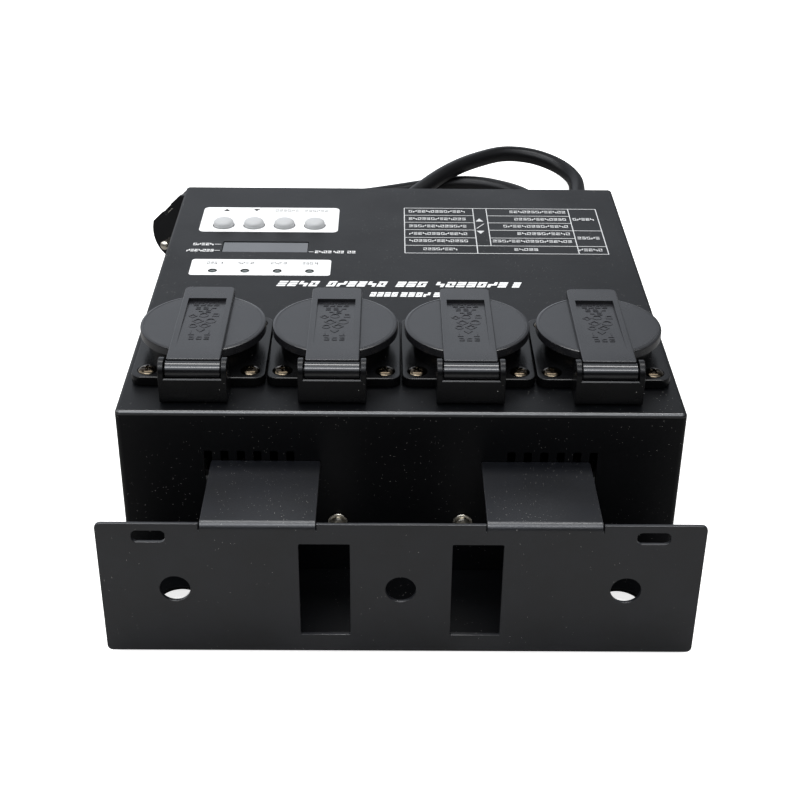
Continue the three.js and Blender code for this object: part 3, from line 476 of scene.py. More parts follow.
def reckoned(add, operation, *values):
    """The output of a math node."""
    return add("ShaderNodeMath", dict(enumerate(values)), operation=operation).outputs[0]


def mapped(add, source, low, high, to_low=0.0, to_high=1.0):
    """The output of a map range node."""
    return add("ShaderNodeMapRange", {
        "Value": source, "From Min": low, "From Max": high, "To Min": to_low, "To Max": to_high,
    }).outputs["Result"]


def noise(add, **inputs):
    """Noise over the object's own coordinates, so that it rides with the object."""
    place = add("ShaderNodeTexCoord").outputs["Object"]
    return add("ShaderNodeTexNoise", {"Vector": place, **inputs}).outputs["Fac"]


# %% A new node group


def new_group(name, inputs, output, fill):
    """A node group with named numbers as inputs. Its one output comes from the fill function."""
    group = bpy.data.node_groups.new(name, "ShaderNodeTree")
    add = new_nodes(group)
    for socket, value in inputs.items():
        made = group.interface.new_socket(socket, in_out="INPUT", socket_type="NodeSocketFloat")
        made.default_value = value
    group.interface.new_socket(output, in_out="OUTPUT", socket_type="NodeSocketFloat")
    given = add("NodeGroupInput").outputs
    add("NodeGroupOutput", {output: fill(add, given)})
    return group


# %% Fine grain: the orange peel of a sprayed or moulded surface
PER_METRE = 1000.0
COARSER = 0.22


def grain_height(add, given):
    """Fine noise, with a share of coarser noise."""
    scale = reckoned(add, "DIVIDE", PER_METRE, given["Size"])
    coarse_scale = reckoned(add, "MULTIPLY", scale, COARSER)
    return add("ShaderNodeMix", {
        0: given["Coarse Share"],
        2: noise(add, Scale=scale, Detail=3.0, Roughness=0.6),
        3: noise(add, Scale=coarse_scale, Detail=1.0),
    }, data_type="FLOAT").outputs[0]


fine_grain = new_group("fine_grain", {"Size": 0.6, "Coarse Share": 0.35}, "Height", grain_height)
print("fine grain:", len(fine_grain.nodes), "nodes")

# %% [markdown]
# ### Dust
# Dust on black paint shows as single pale specks, thick in some places and missing in others. It
# could be strewn as thousands of small meshes. A pattern of scattered cells gives a disc round
# each cell's point at no cost, and slow noise thins the discs out into drifts.

# %% Dust: pale specks that settle in drifts


def speck_mask(add, given):
    """Small discs round scattered points, a share of them, and only where slow noise is high."""
    place = add("ShaderNodeTexCoord").outputs["Object"]
    scale = reckoned(add, "DIVIDE", PER_METRE, given["Spacing"])
    cells = add("ShaderNodeTexVoronoi", {"Scale": scale, "Vector": place}).outputs
    pick = add("ShaderNodeSeparateColor", {0: cells["Color"]}).outputs[0]
    specks = reckoned(add, "LESS_THAN", cells["Distance"], given["Speck"])
    kept = reckoned(add, "LESS_THAN", pick, given["Cover"])
    drift = mapped(add, noise(add, Scale=38.0, Detail=2.0), 0.42, 0.62)
    return reckoned(add, "MULTIPLY", reckoned(add, "MULTIPLY", specks, kept), drift)


dust_specks = new_group(
    "dust_specks", {"Spacing": 3.0, "Speck": 0.06, "Cover": 0.5}, "Mask", speck_mask,
)
print("dust:", len(dust_specks.nodes), "nodes")

# %% [markdown]
# ### Handling
# Hands polish a surface unevenly and rub its edges pale. Painting both by hand would need an
# unwrapped mesh for each piece. Slow noise between two roughnesses gives the polish, and the
# mesh's own sharpness, broken up by noise, gives the rubbed edges.

# %% Handling: cloudy changes of sheen, and edges that are rubbed a little paler


def cloudy_roughness(add, given):
    clouds = noise(add, Scale=given["Clouds"], Detail=4.0, Roughness=0.55)
    return mapped(add, clouds, 0.3, 0.7, given["Low"], given["High"])


def edge_mask(add, given):
    """Sharp places of the mesh, broken up by noise."""
    pointiness = add("ShaderNodeNewGeometry").outputs["Pointiness"]
    edge = mapped(add, pointiness, given["Start"], given["Full"])
    breaks = mapped(add, noise(add, Scale=260.0, Detail=3.0), 0.35, 0.65, 0.4, 1.0)
    return reckoned(add, "MULTIPLY", reckoned(add, "MULTIPLY", edge, breaks), given["Amount"])


handled_sheen = new_group(
    "handled_sheen", {"Clouds": 22.0, "Low": 0.3, "High": 0.45}, "Roughness", cloudy_roughness,
)
rubbed_edges = new_group(
    "rubbed_edges", {"Start": 0.52, "Full": 0.62, "Amount": 0.5}, "Mask", edge_mask,
)
print("effects:", [group.name for group in bpy.data.node_groups])

# %% [markdown]
# ## Finishes
# One recipe serves every finish: a colour with a cloudy tint, a sheen between two roughnesses,
# a grain of its own size and depth, and dust. A real powder coat has a peel of about half a
# millimetre; a moulded lid is finer; rubber is smooth and dull. Small pieces also get paler
# rubbed edges. That mask is measured at the corners of the mesh and spread over each face, so on
# a large flat wall it would draw broad patches: big sheets have none. A second finish goes on
# chosen faces: a paler, glossier coat on the front fold of the cover, which paints a highlight
# there; a darker, duller and dustier one on the tongues of the bracket, which is dust and painted
# shade; and, where they are worn, a glossy one on the barrels of the lids.

# %% The recipe
DUST_COLOUR = (0.7, 0.69, 0.66, 1)
COAT_ROUGHNESS = 0.12
BUMP_DISTANCE = 0.0002


def effect(add, group, **values):
    """The output of a shared effect with this finish's own values."""
    return add("ShaderNodeGroup", values, node_tree=group).outputs[0]


def blended(add, mask, first, second):
    """A colour that goes from the first to the second where the mask is 1."""
    return add("ShaderNodeMix", {0: mask, 6: first, 7: second}, data_type="RGBA").outputs[2]


def finish(
    name, colour, sheen, grain, depth, edge=None, rub=0.4, specular=0.5, metal=0.0, coat=0.0,
    dust=None, clouds=22.0, tint=None,
):
    """A finish from the shared effects.

    Sheen is the lowest and the highest roughness, grain a size in millimetres and depth the
    strength of the bump. Dust gives the share of specks kept, their spacing in millimetres and
    their radius as a share of the spacing.
    """
    material = bpy.data.materials.new(name)
    material.use_nodes = True
    add = new_nodes(material.node_tree)
    shade = (*colour, 1)
    if tint:
        patch = mapped(add, noise(add, Scale=60.0, Detail=3.0), 0.35, 0.65)
        shade = blended(add, patch, shade, (*tint, 1))
    if edge:
        shade = blended(add, effect(add, rubbed_edges, Amount=rub), shade, (*edge, 1))
    if dust:
        kept, spacing, speck = dust
        mask = effect(add, dust_specks, Cover=kept, Spacing=spacing, Speck=speck)
        shade = blended(add, mask, shade, DUST_COLOUR)
    peel = effect(add, fine_grain, Size=grain)
    bump = add("ShaderNodeBump", {"Strength": depth, "Distance": BUMP_DISTANCE, "Height": peel})
    shader = add("ShaderNodeBsdfPrincipled", {
        "Base Color": shade, "Metallic": metal, "Specular IOR Level": specular,
        "Roughness": effect(add, handled_sheen, Clouds=clouds, Low=sheen[0], High=sheen[1]),
        "Normal": bump.outputs["Normal"], "Coat Weight": coat, "Coat Roughness": COAT_ROUGHNESS,
    })
    add("ShaderNodeOutputMaterial", {"Surface": shader.outputs[0]})
    return material


# %% Finishes of the sheets and mouldings
powder_coat = finish(
    "black_powder_coat", (0.0022, 0.0024, 0.003), (0.33, 0.43), 0.55, 0.32,
    specular=0.15, dust=(0.5, 1.0, 0.075),
)
# A paler, much glossier copy of the powder coat, for the front fold only: it paints a highlight
# along the bend.
fold_highlight_coat = finish(
    "painted_highlight_bend_coat", (0.004, 0.0042, 0.005), (0.3, 0.36), 0.55, 0.2,
    specular=0.95, dust=(0.3, 1.2, 0.07),
)
bracket_coat = finish(
    "bracket_powder_coat", (0.006, 0.0068, 0.0095), (0.34, 0.42), 0.5, 0.3,
    specular=0.7, dust=(0.3, 1.4, 0.06), tint=(0.0045, 0.005, 0.0065),
)
# A darker, duller copy of the bracket coat with more dust, for the tongues' tops: real dust, and
# painted shade on the tongues.
tongue_dust_and_shade_coat = finish(
    "dusty_shaded_tongue_coat", (0.0055, 0.0062, 0.0085), (0.36, 0.44), 0.5, 0.3,
    specular=0.36, dust=(0.6, 0.9, 0.08), tint=(0.0045, 0.005, 0.0065),
)
outlet_plastic = finish(
    "black_outlet_plastic", (0.0022, 0.0023, 0.0027), (0.22, 0.3), 0.35, 0.1,
    specular=0.22, dust=(0.1, 1.9, 0.06),
)
lid_plastic = finish(
    "satin_lid_plastic", (0.0075, 0.0078, 0.0095), (0.2, 0.3), 0.3, 0.16,
    specular=0.45, dust=(0.05, 2.2, 0.06), clouds=40.0, tint=(0.012, 0.0122, 0.014),
)
barrel_gloss = finish(
    "worn_glossy_barrel", (0.003, 0.0032, 0.0038), (0.1, 0.15), 0.3, 0.04,
    edge=(0.03, 0.03, 0.031), rub=0.1, specular=0.6,
)
lead_rubber = finish(
    "lead_rubber", (0.004, 0.004, 0.0045), (0.33, 0.42), 0.5, 0.1,
    edge=(0.014, 0.014, 0.014), rub=0.1, specular=0.2, dust=(0.05, 3.0, 0.06),
)
foot_rubber = finish(
    "foot_rubber", (0.012, 0.012, 0.012), (0.6, 0.75), 0.5, 0.3, edge=(0.02, 0.02, 0.02), rub=0.2,
)
button_plastic = finish(
    "grey_button_plastic", (0.46, 0.47, 0.48), (0.38, 0.5), 0.25, 0.1,
    edge=(0.5, 0.51, 0.52), rub=0.2, specular=0.4, clouds=90.0, tint=(0.43, 0.44, 0.45),
)
module_plastic = finish(
    "black_module_plastic", (0.012, 0.012, 0.013), (0.4, 0.5), 0.3, 0.1, edge=(0.03, 0.03, 0.03),
)
smoked_filter = finish(
    "smoked_display_filter", (0.055, 0.057, 0.062), (0.14, 0.22), 0.4, 0.03,
    edge=(0.09, 0.09, 0.095), rub=0.1, specular=0.6, coat=0.4, clouds=30.0,
    tint=(0.045, 0.047, 0.052),
)
dark_lens = finish(
    "dark_green_lens", (0.006, 0.018, 0.009), (0.1, 0.18), 0.3, 0.03,
    edge=(0.02, 0.05, 0.03), rub=0.1, specular=0.6, coat=0.6,
)
board_lacquer = finish(
    "green_board_lacquer", (0.02, 0.1, 0.04), (0.3, 0.42), 0.5, 0.15,
    edge=(0.05, 0.16, 0.08), rub=0.3, tint=(0.014, 0.07, 0.03),
)
print("sheets and mouldings:", len(bpy.data.materials), "finishes")

# %% Finishes of the metal and of the print
plated_steel = finish(
    "plated_steel", (0.62, 0.58, 0.5), (0.2, 0.34), 0.25, 0.08,
    edge=(0.7, 0.67, 0.6), rub=0.3, metal=1.0, clouds=120.0, tint=(0.5, 0.46, 0.38),
)
blackened_steel = finish(
    "blackened_pin_steel", (0.035, 0.035, 0.037), (0.25, 0.35), 0.25, 0.06, metal=1.0,
)
screw_brass = finish(
    "dull_brass_plating", (0.05, 0.038, 0.025), (0.12, 0.2), 0.22, 0.03,
    edge=(0.75, 0.64, 0.47), rub=0.35, metal=1.0, clouds=160.0, tint=(0.02, 0.015, 0.01),
)
spring_brass = finish(
    "spring_brass", (0.72, 0.55, 0.28), (0.2, 0.3), 0.3, 0.06,
    edge=(0.85, 0.7, 0.42), rub=0.3, metal=1.0, clouds=90.0, tint=(0.6, 0.44, 0.2),
)
sink_aluminium = finish(
    "extruded_aluminium", (0.56, 0.57, 0.58), (0.28, 0.4), 0.4, 0.15,
    edge=(0.7, 0.7, 0.7), rub=0.3, metal=1.0, clouds=70.0,
)
socket_nickel = finish(
    "socket_nickel", (0.56, 0.55, 0.53), (0.2, 0.34), 0.3, 0.08,
    edge=(0.7, 0.69, 0.66), metal=1.0, clouds=90.0, tint=(0.48, 0.47, 0.45),
)
print_white = finish(
    "white_print", (0.86, 0.87, 0.88), (0.35, 0.45), 0.3, 0.05,
    specular=0.3, clouds=80.0, tint=(0.82, 0.83, 0.84),
)
print_pale = finish(
    "thin_white_print", (0.6, 0.61, 0.62), (0.35, 0.45), 0.3, 0.05,
    specular=0.3, clouds=80.0, tint=(0.52, 0.53, 0.54),
)
print_grey = finish(
    "grey_print", (0.12, 0.12, 0.125), (0.4, 0.5), 0.3, 0.05,
    specular=0.3, clouds=300.0, tint=(0.3, 0.3, 0.3),
)
print("with metal and print:", len(bpy.data.materials), "finishes")

# %% [markdown]
# ## Cover
# The box is one blank of 1.2 mm steel, folded down on four sides. Folding leaves a small round
# at every bend: the bright line along the top edge of such a box is light caught in that round.
# A subdivided cage could give it, but holes then pull the surface about. Here the outline is
# pushed up, its top edge is rounded, the inside is cut away, and the holes are punched last. The
# front fold's faces then get a paler, glossier finish, which paints a brighter highlight on the
# bend.

# %% The folded cover
SHEET = 1.2
CORNER = 2.1
BEND = 1.5
cover_width = cover_high.x - cover_low.x
cover_depth = REAR - FACE
MIDDLE = (REAR + FACE) / 2
FOOT = cover_low.z

cover = pushed(
    "cover_shell", rounded_box(cover_width, cover_depth, CORNER, 0, MIDDLE, 6), FOOT, TOP,
)
with opened(cover) as form:
    top_edges = [edge for edge in form.edges if min(end.co.z for end in edge.verts) > TOP - 0.01]
    bmesh.ops.bevel(
        form, geom=top_edges, offset=BEND, segments=6, profile=0.5, affect="EDGES",
        clamp_overlap=True,
    )
inside = rounded_box(cover_width - 2 * SHEET, cover_depth - 2 * SHEET, 0.8, 0, MIDDLE)
cut(cover, pushed("hollow", inside, FOOT - 1, TOP - SHEET))
RETURN = 12
return_x = (cover_width - RETURN - SHEET) / 2
for side in SIDES:
    outline = rounded_box(RETURN, cover_depth - 2, 0.4, side * return_x, MIDDLE)
    joined(cover, pushed("return", outline, FOOT, FOOT + SHEET))
print("cover blank:", len(cover.data.polygons), "faces")

# %% Places of everything that goes through the cover
OUTLET_X = [
    (low.x + high.x) / 2 for low, high in map(box_mm, [f"outlet_body_{n}" for n in (1, 2, 3, 4)])
]
OUTLET_Y = -45.25
OUTLETS = [(x, OUTLET_Y, TOP) for x in OUTLET_X]
SCREW_REACH = 19
FLANGE_SCREWS = [(x, y) for y in (-SCREW_REACH, SCREW_REACH) for x in (-SCREW_REACH, SCREW_REACH)]
BUTTONS = [(low + high) / 2 for low, high in map(box_mm, [f"button_{n}" for n in (1, 2, 3, 4)])]
guide_low, guide_high = box_mm("light_guide")
LED_Y = (guide_low.y + guide_high.y) / 2
window_low, window_high = box_mm("display_window")
WINDOW = (window_low + window_high) / 2
WINDOW_SIZE = (38, 11.2)
VENTS = [side * (40.3 + 6 * step) for side in SIDES for step in range(6)]
VENT_Z = 50.1
SCREWS = [(-23.3, 29.4), (23.3, 29.4)]
SIGNALS = [(-68, 40.4), (-32, 40.4)]
RELIEF = (84, 36.4)
FEET = [(side * 89, y) for side in SIDES for y in (-74.2, 111.8)]
print("outlets at", [round(x, 2) for x in OUTLET_X])
print("buttons at", [round(place.x, 1) for place in BUTTONS])

# %% [markdown]
# ### Holes in the cover
# Every outlet, button, lamp, screw and socket goes through a hole of its own, as in the real
# sheet, so the pieces sit in it and light falls in past them. Cutting the holes one by one would
# recalculate the whole mesh each time. All cutters are joined first and cut in one go.

# %% Punch the cover
SCREW_HOLE, WELL_HOLE, BUTTON_HOLE, LAMP_HOLE = 1.8, 21.1, 4.9, 1.9
SIGNAL_HOLE, RELIEF_HOLE = 11.9, 6.3
VENT_SIZE = (3, 20)


def drills(places, radius, reach, axis="Z", steps=16):
    """Round cutters through a wall, one at each flat place."""
    return [pushed("drill", circle(radius, u, v, steps), *reach, axis) for u, v in places]


through = (TOP - 4, TOP + 4)
front_wall = (FACE - 3, FACE + 3)
rear_wall = (REAR - 3, REAR + 3)
punches = [
    *drills([(x, OUTLET_Y) for x in OUTLET_X], WELL_HOLE, through, steps=72),
    *drills(
        [(x + across, OUTLET_Y + along) for x in OUTLET_X for across, along in FLANGE_SCREWS],
        SCREW_HOLE, through,
    ),
    *drills([place[:2] for place in BUTTONS], BUTTON_HOLE, through, steps=48),
    *drills([(place.x, LED_Y) for place in BUTTONS], LAMP_HOLE, through, steps=24),
    pushed("opening", rounded_box(*WINDOW_SIZE, 0.5, WINDOW.x, WINDOW.y), *through),
    *[
        pushed("vent", rounded_box(*VENT_SIZE, 0.7, x, VENT_Z, 4), *front_wall, "Y") for x in VENTS
    ],
    *drills(SCREWS, SCREW_HOLE, front_wall, "Y"),
    *drills(SIGNALS, SIGNAL_HOLE, rear_wall, "Y", 48),
    *drills([RELIEF], RELIEF_HOLE, rear_wall, "Y", 32),
    *drills(FEET, SCREW_HOLE, (FOOT - 2, FOOT + 3)),
]
cut(cover, *punches)
softened(cover, 0.16, 2, 60)
settled(cover, powder_coat, "root", "powder_black", "cover")
# The front fold's faces get the paler, glossier coat, which paints a highlight along the bend.
second_finish(cover, fold_highlight_coat, lambda centre, normal: (
    0.1 < normal.z < 0.98 and normal.y < -0.1 and centre.y < FACE + BEND and centre.z > TOP - BEND
))
print("punches:", len(punches), "cover faces:", len(cover.data.polygons))

# %% [markdown]
# ## Base plate
# A flat sheet closes the box below. Its front edge runs on under the bracket and turns down, so
# the side view is an L with a round corner. Pushing that side view across is quicker and truer
# than bending a plate. Two large holes in the leaf are cut after it.

# %% The base plate
base_low, base_high = box_mm("base_plate")
BASE_SHEET = 1.5
bend = 2.0
side_view = [
    (base_high.y, base_high.z - BASE_SHEET), (base_high.y, base_high.z),
    *arc(base_low.y + bend, base_high.z - bend, bend, 90, 180, 6),
    (base_low.y, base_low.z), (base_low.y + BASE_SHEET, base_low.z),
    *arc(base_low.y + bend, base_high.z - bend, bend - BASE_SHEET, 180, 90, 6),
]
base = pushed("base_sheet", side_view, base_low.x, base_high.x, "X")
LEAF_HOLE = 8
cut(
    base,
    *[rod("hole", LEAF_HOLE, 3, 9, place=(side * 81.5, -107.2, 0)) for side in SIDES],
    *[rod("hole", SCREW_HOLE, 3, 9, place=(x, y, 0), segments=16) for x, y in FEET],
)
softened(base, 0.25, 2, 40)
settled(base, powder_coat, "root", "powder_black", "base_plate")
print("base:", len(base.data.polygons), "faces")

# %% [markdown]
# ## Mounting bracket
# The bracket starts as a flat blank with two tongues that run on upwards. Short slits beside
# each tongue let it fold. The same is done here: a flat plate is cut across the bend into narrow
# steps, and each point above the bend line is carried round the bend by its own distance. The
# sheet keeps its thickness through the bend, which a bend drawn by hand seldom does.

# %% The flat blank
bracket_low, bracket_high = box_mm("mounting_bracket")
BRACKET_SHEET = 1.5
BRACKET_BEND = 2.6
NEUTRAL = BRACKET_BEND - BRACKET_SHEET / 2
bend_line = bracket_high.z - BRACKET_BEND
bend_run = NEUTRAL * math.pi / 2
tip = bend_line + bend_run + bracket_high.y - (bracket_low.y + BRACKET_BEND)
inner, outer, slit = 29.4, 69.2, 0.35
slit_foot = bend_line - 0.3
half = bracket_high.x
corner = 2.0
tongue = [
    (outer + slit, bracket_high.z), (outer + slit, slit_foot), (outer, slit_foot),
    *arc(outer - 0.8, tip - 0.8, 0.8, 0, 90, 4), *arc(inner + 0.8, tip - 0.8, 0.8, 90, 180, 4),
    (inner, slit_foot), (inner - slit, slit_foot), (inner - slit, bracket_high.z),
]
blank_outline = [
    *arc(-half + corner, bracket_low.z + corner, corner, 180, 270, 4),
    *arc(half - corner, bracket_low.z + corner, corner, 270, 360, 4),
    *arc(half - corner, bracket_high.z - corner, corner, 0, 90, 4),
    *tongue, *[(-u, v) for u, v in reversed(tongue)],
    *arc(-half + corner, bracket_high.z - corner, corner, 90, 180, 4),
]
BOLT_HOLE = 5.35
LOOK_THROUGH = (17.7, 39.5)
SLOT = (11.6, 4.8)
look_z = bracket_high.z - 8.3 - LOOK_THROUGH[1] / 2
blank_holes = [
    *[circle(BOLT_HOLE, x, 28.6, 40) for x in (-79, 0, 79)],
    *[rounded_box(*LOOK_THROUGH, 0.5, side * 26.6, look_z, 3) for side in SIDES],
    *[rounded_box(*SLOT, 1.9, side * 86.8, 50.9, 6) for side in SIDES],
]
bracket = plate(
    "bracket_sheet", blank_outline, blank_holes,
    bracket_low.y, bracket_low.y + BRACKET_SHEET, 0.28, "Y",
)
print("blank:", len(bracket.data.polygons), "faces, tongues reach", round(tip, 1), "mm up")

# %% Fold the tongues
BEND_STEPS = 10
with opened(bracket) as form:
    for step in range(BEND_STEPS + 1):
        level = bend_line + bend_run * step / BEND_STEPS
        bmesh.ops.bisect_plane(
            form, geom=[*form.verts, *form.edges, *form.faces],
            plane_co=(0, 0, level), plane_no=(0, 0, 1), dist=0.0005,
        )
    for vertex in form.verts:
        run = vertex.co.z - bend_line
        if run <= 0 or not inner - 0.02 < abs(vertex.co.x) < outer + 0.02:
            continue
        radius = BRACKET_BEND - (vertex.co.y - bracket_low.y)
        turn = min(run / bend_run, 1) * math.pi / 2
        vertex.co.y = bracket_low.y + BRACKET_BEND - radius * math.cos(turn)
        vertex.co.y += max(run - bend_run, 0)
        vertex.co.z = bend_line + radius * math.sin(turn)
settled(bracket, bracket_coat, "root", "powder_black", "mounting_bracket")
# The tongues' top faces get the darker, duller, dustier coat: more dust, and painted shade.
second_finish(bracket, tongue_dust_and_shade_coat, lambda centre, normal: (
    normal.z > 0.98 and centre.y > bracket_low.y + BRACKET_BEND
))
print("bracket:", [round(value * 1000, 1) for value in bracket.dimensions])

# %% [markdown]
# ## Outlet bodies
# Each outlet is one moulding: a square flange, a round collar whose cup hangs through the cover,
# and a hinge block in front. Its round parts are turned, its flange is a plate, and its block is
# a side view pushed across. The moulding is drawn once about its own centre, and the other
# three are copies that share its mesh.

# %% The cup, the flange and the hinge block
HINGE_Y = -32.65
HINGE_Z = 11.4
FLANGE_TOP = 3.85
cup = turned("outlet_body", [
    (0, -9.8), (19, -9.8), (19, -26), (20.8, -26),
    (20.8, 9.1), (20.63, 9.5), (20.2, 9.7), (19.7, 9.7), (19.32, 9.52), (19.2, 9.1),
    (19.2, -7.8), (0, -7.8),
], segments=96)
well = circle(20, steps=96)
seat = plate("seat", rounded_box(49.5, 49.5, 4, steps=8), [well], 0.3, FLANGE_TOP, 0.5)
block = pushed("block", [
    (-37.35, 1.1), (-36.95, 0.6), (-20.75, 0.6), (-20.75, 3.85), (-27.65, 7.6), (-32.65, 7.6),
    (-32.65, 10.2), (-36.95, 10.2), (-37.35, 9.8),
], -12.1, 12.1, "X")
HINGE = (0, HINGE_Y, HINGE_Z)
cut(block, pushed("well", well, -5, 12))
cut(block, rod("trough", 3.8, -14, 14, "X", HINGE))
ears = []
for reach in ((-12.35, -10.3), (10.3, 12.35)):
    ear = pushed("ear", [
        (HINGE_Y - 4.7, 0.6), (-24.5, 0.6), (-24.5, 3.85), (HINGE_Y + 4.7, 7.6),
        *arc(HINGE_Y, HINGE_Z, 4.7, 0, 180, 20),
    ], *reach, "X")
    ears.append(softened(ear, 0.3, 3, 35))
outlet_body = joined(cup, seat, block, *ears)
print("outlet body:", len(outlet_body.data.polygons), "faces")

# %% Its holes
SINK_FLOOR = FLANGE_TOP - 0.8
tools = [
    turned("hole", [(0, -12), (2.6, -12), (2.6, -8.3), (3.0, -7.6), (0, -7.6)], "Z", (x, 0, 0), 32)
    for x in (-9.5, 9.5)
]
tools += [pushed("slot", rounded_box(5.4, 1.8, 0.3, 0, y), -12, -6) for y in (-17.4, 17.4)]
tools += [turned("hole", [
    (0, -1), (SCREW_HOLE, -1), (SCREW_HOLE, SINK_FLOOR), (3.8, SINK_FLOOR), (3.8, 6), (0, 6),
], "Z", (x, y, 0), 36) for x, y in FLANGE_SCREWS]
tools.append(rod("bore", 1.55, -14, 14, "X", HINGE, 24))
cut(outlet_body, *tools)
spread(
    outlet_body, outlet_plastic, "outlet_plastic", OUTLETS,
    "root", "outlet_body_#_moulding", "outlet_body_#",
)
print("outlet holes:", len(tools))

# %% [markdown]
# ## Lids
# A lid is a shallow round cap under a flat arm, with the hinge's barrel at its near end. The cap
# carries a thin raised line just inside its rim, which is what makes the rim read as moulded.
# The arm has a shallow sloping recess. The cap is turned, the arm is a plate, and the barrel
# is turned about the hinge's axis, so the lid swings true about it.

# %% The cap, the arm and the barrel
LID_Y = 1.0
cap = turned("outlet_lid", [
    (0, 11.8), (22.45, 11.8), (22.45, 10.4), (22.6, 10.3), (23.6, 10.3), (23.75, 10.45),
    (23.75, 12.95), (23.6, 13.33), (23.2, 13.52), (22.75, 13.6), (22.55, 13.6), (22.45, 13.5),
    (22.2, 13.5), (22.1, 13.58), (0, 13.58),
], "Z", (0, LID_Y, 0), 96)
arm_near, arm_far = HINGE_Y + 1.0, 27.85
arm_outline = [
    (-9.75, arm_near), (9.75, arm_near),
    *arc(7.25, arm_far - 2.5, 2.5, 0, 90, 7), *arc(-7.25, arm_far - 2.5, 2.5, 90, 180, 7),
]
arm = pushed("arm", arm_outline, 12.2, 15.5)
softened(arm, 0.45, 3, 35)
barrel = rod("barrel", 3.5, -10, 10, "X", HINGE, edge=0.25)
lid = joined(cap, arm, barrel)
RECESS_NEAR, RECESS_FAR = -23.45, 17.55
RECESS_TOP, RECESS_DEPTH = 15.5, 1.3
cut(lid, pushed("recess", [
    (RECESS_NEAR, RECESS_TOP), (RECESS_NEAR, RECESS_TOP + 1), (RECESS_FAR, RECESS_TOP + 1),
    (RECESS_FAR, RECESS_TOP - RECESS_DEPTH),
], -7.35, 7.35, "X"))
cut(lid, rod("bore", 1.55, -13, 13, "X", HINGE, 24))
spread(
    lid, lid_plastic, "lid_plastic", OUTLETS, "lid_#", "outlet_lid_#_moulding", "outlet_lid_#",
)
second_finish(lid, barrel_gloss, lambda centre, normal: (
    math.hypot(centre.y - HINGE_Y, centre.z - HINGE_Z) < 3.6 and abs(centre.x) < 9.9
))
print("lid:", len(lid.data.polygons), "faces, four copies")

# %% [markdown]
# ## Hinge pins, earth straps and flange screws
# These are the small metal pieces of an outlet. The pin is a plain round bar with dressed ends,
# blackened, because in the shade of the ears a bright one would draw the eye. The strap is
# sprung sheet, so its side view is drawn once with a thickness and pushed across. The screws are
# turned, and a plus-shaped cutter sinks the cross into the head. Each screw stops at an angle of
# its own, as driven screws do.

# %% Hinge pins
pin = rod("hinge_pin", 1.25, -12.1, 12.1, "X", HINGE, 24, edge=0.3)
spread(
    pin, blackened_steel, "plated_steel", OUTLETS, "root", "hinge_pin_#_bar", "hinge_pin_#",
)
print("pins:", len(OUTLETS), "of", round(pin.dimensions.x / MM, 1), "mm")

# %% Earth straps
STRAP_SHEET = 0.8
finger = [
    (17.4, -10.8), (17.4, -7.8), (17.1, -3.5), (16.1, -1.2), (15.8, 0.0), (16.1, 1.4),
    (17.0, 3.4), (17.6, 5.0),
]
line = [Vector((-y, z)) for y, z in reversed(finger)] + [Vector(point) for point in finger]
sides = ([], [])
for index, point in enumerate(line):
    before, after = line[max(index - 1, 0)], line[min(index + 1, len(line) - 1)]
    along = (after - before).normalized()
    off = Vector((-along.y, along.x)) * STRAP_SHEET / 2
    sides[0].append(point + off)
    sides[1].append(point - off)
strap = pushed("earth_strap", [*sides[0], *reversed(sides[1])], -2.2, 2.2, "X")
softened(strap, 0.15, 2, 50)
spread(
    strap, spring_brass, "spring_brass", OUTLETS, "root", "earth_strap_#_sheet", "earth_strap_#",
)
print("strap points:", len(line))

# %% A cross recess


def plus(name, reach, width, low, high, axis="Z", place=(0, 0, 0)):
    """A plus-shaped cutter."""
    half = width / 2
    outline = []
    for quarter in range(4):
        turn = math.radians(90 * quarter)
        for u, v in ((reach, -half), (reach, half), (half, half)):
            outline.append((
                u * math.cos(turn) - v * math.sin(turn), u * math.sin(turn) + v * math.cos(turn),
            ))
    return pushed(name, outline, low, high, axis, place)


# %% Flange screws
under_head = (0, 0, FLANGE_TOP - 0.5)
screw = turned("flange_screw", [
    (0, -9), (1.1, -9), (1.5, -8.4), (1.5, 0), (3.35, 0), (3.5, 0.2), (3.45, 0.55), (3.1, 0.95),
    (2.5, 1.25), (1.7, 1.43), (0.9, 1.5), (0, 1.5),
], place=under_head, segments=40)
cut(screw, plus("cross", 2.1, 0.85, 0.7, 3, place=under_head))
softened(screw, 0.08, 2, 50)
for number, x in enumerate(OUTLET_X, 1):
    for index, (across, along) in enumerate(FLANGE_SCREWS, 1):
        node = f"flange_screw_{number}_{index}"
        place = (x + across, OUTLET_Y + along, TOP)
        if number == index == 1:
            settled(screw, screw_brass, "root", "screw_brass", node, at=place)
        else:
            turn = (17 * index + 41 * number) % 90
            copied(screw, f"{node}_head", place, "root", "screw_brass", node, turn=turn)
print("flange screws:", 16, "faces each:", len(screw.data.polygons))

# %% [markdown]
# ## Front screws, feet and foot screws
# Two pan-head screws with washers hold the heat sink behind the front wall. The feet are rubber
# discs with a well for their own screw. All are turned from a side view of half the piece.

# %% Front screws
front_screw = turned("front_screw", [
    (0, 6.2), (1.2, 6.2), (1.5, 5.6), (1.5, -0.3), (3.5, -0.3), (3.6, -0.4), (3.6, -0.9),
    (3.5, -1.0), (2.45, -1.0), (2.6, -1.3), (2.58, -1.9), (2.35, -2.4), (1.8, -2.75), (1.0, -2.88),
    (0, -2.9),
], "Y", segments=40)
cut(front_screw, plus("cross", 1.6, 0.7, -4, -1.9, "Y"))
softened(front_screw, 0.07, 2, 50)
spread(
    front_screw, plated_steel, "plated_steel", [(x, FACE, z) for x, z in SCREWS],
    "root", "front_screw_#_head", "front_screw_#", labels=("left", "right"),
)
print("front screws:", len(SCREWS), "faces each:", len(front_screw.data.polygons))

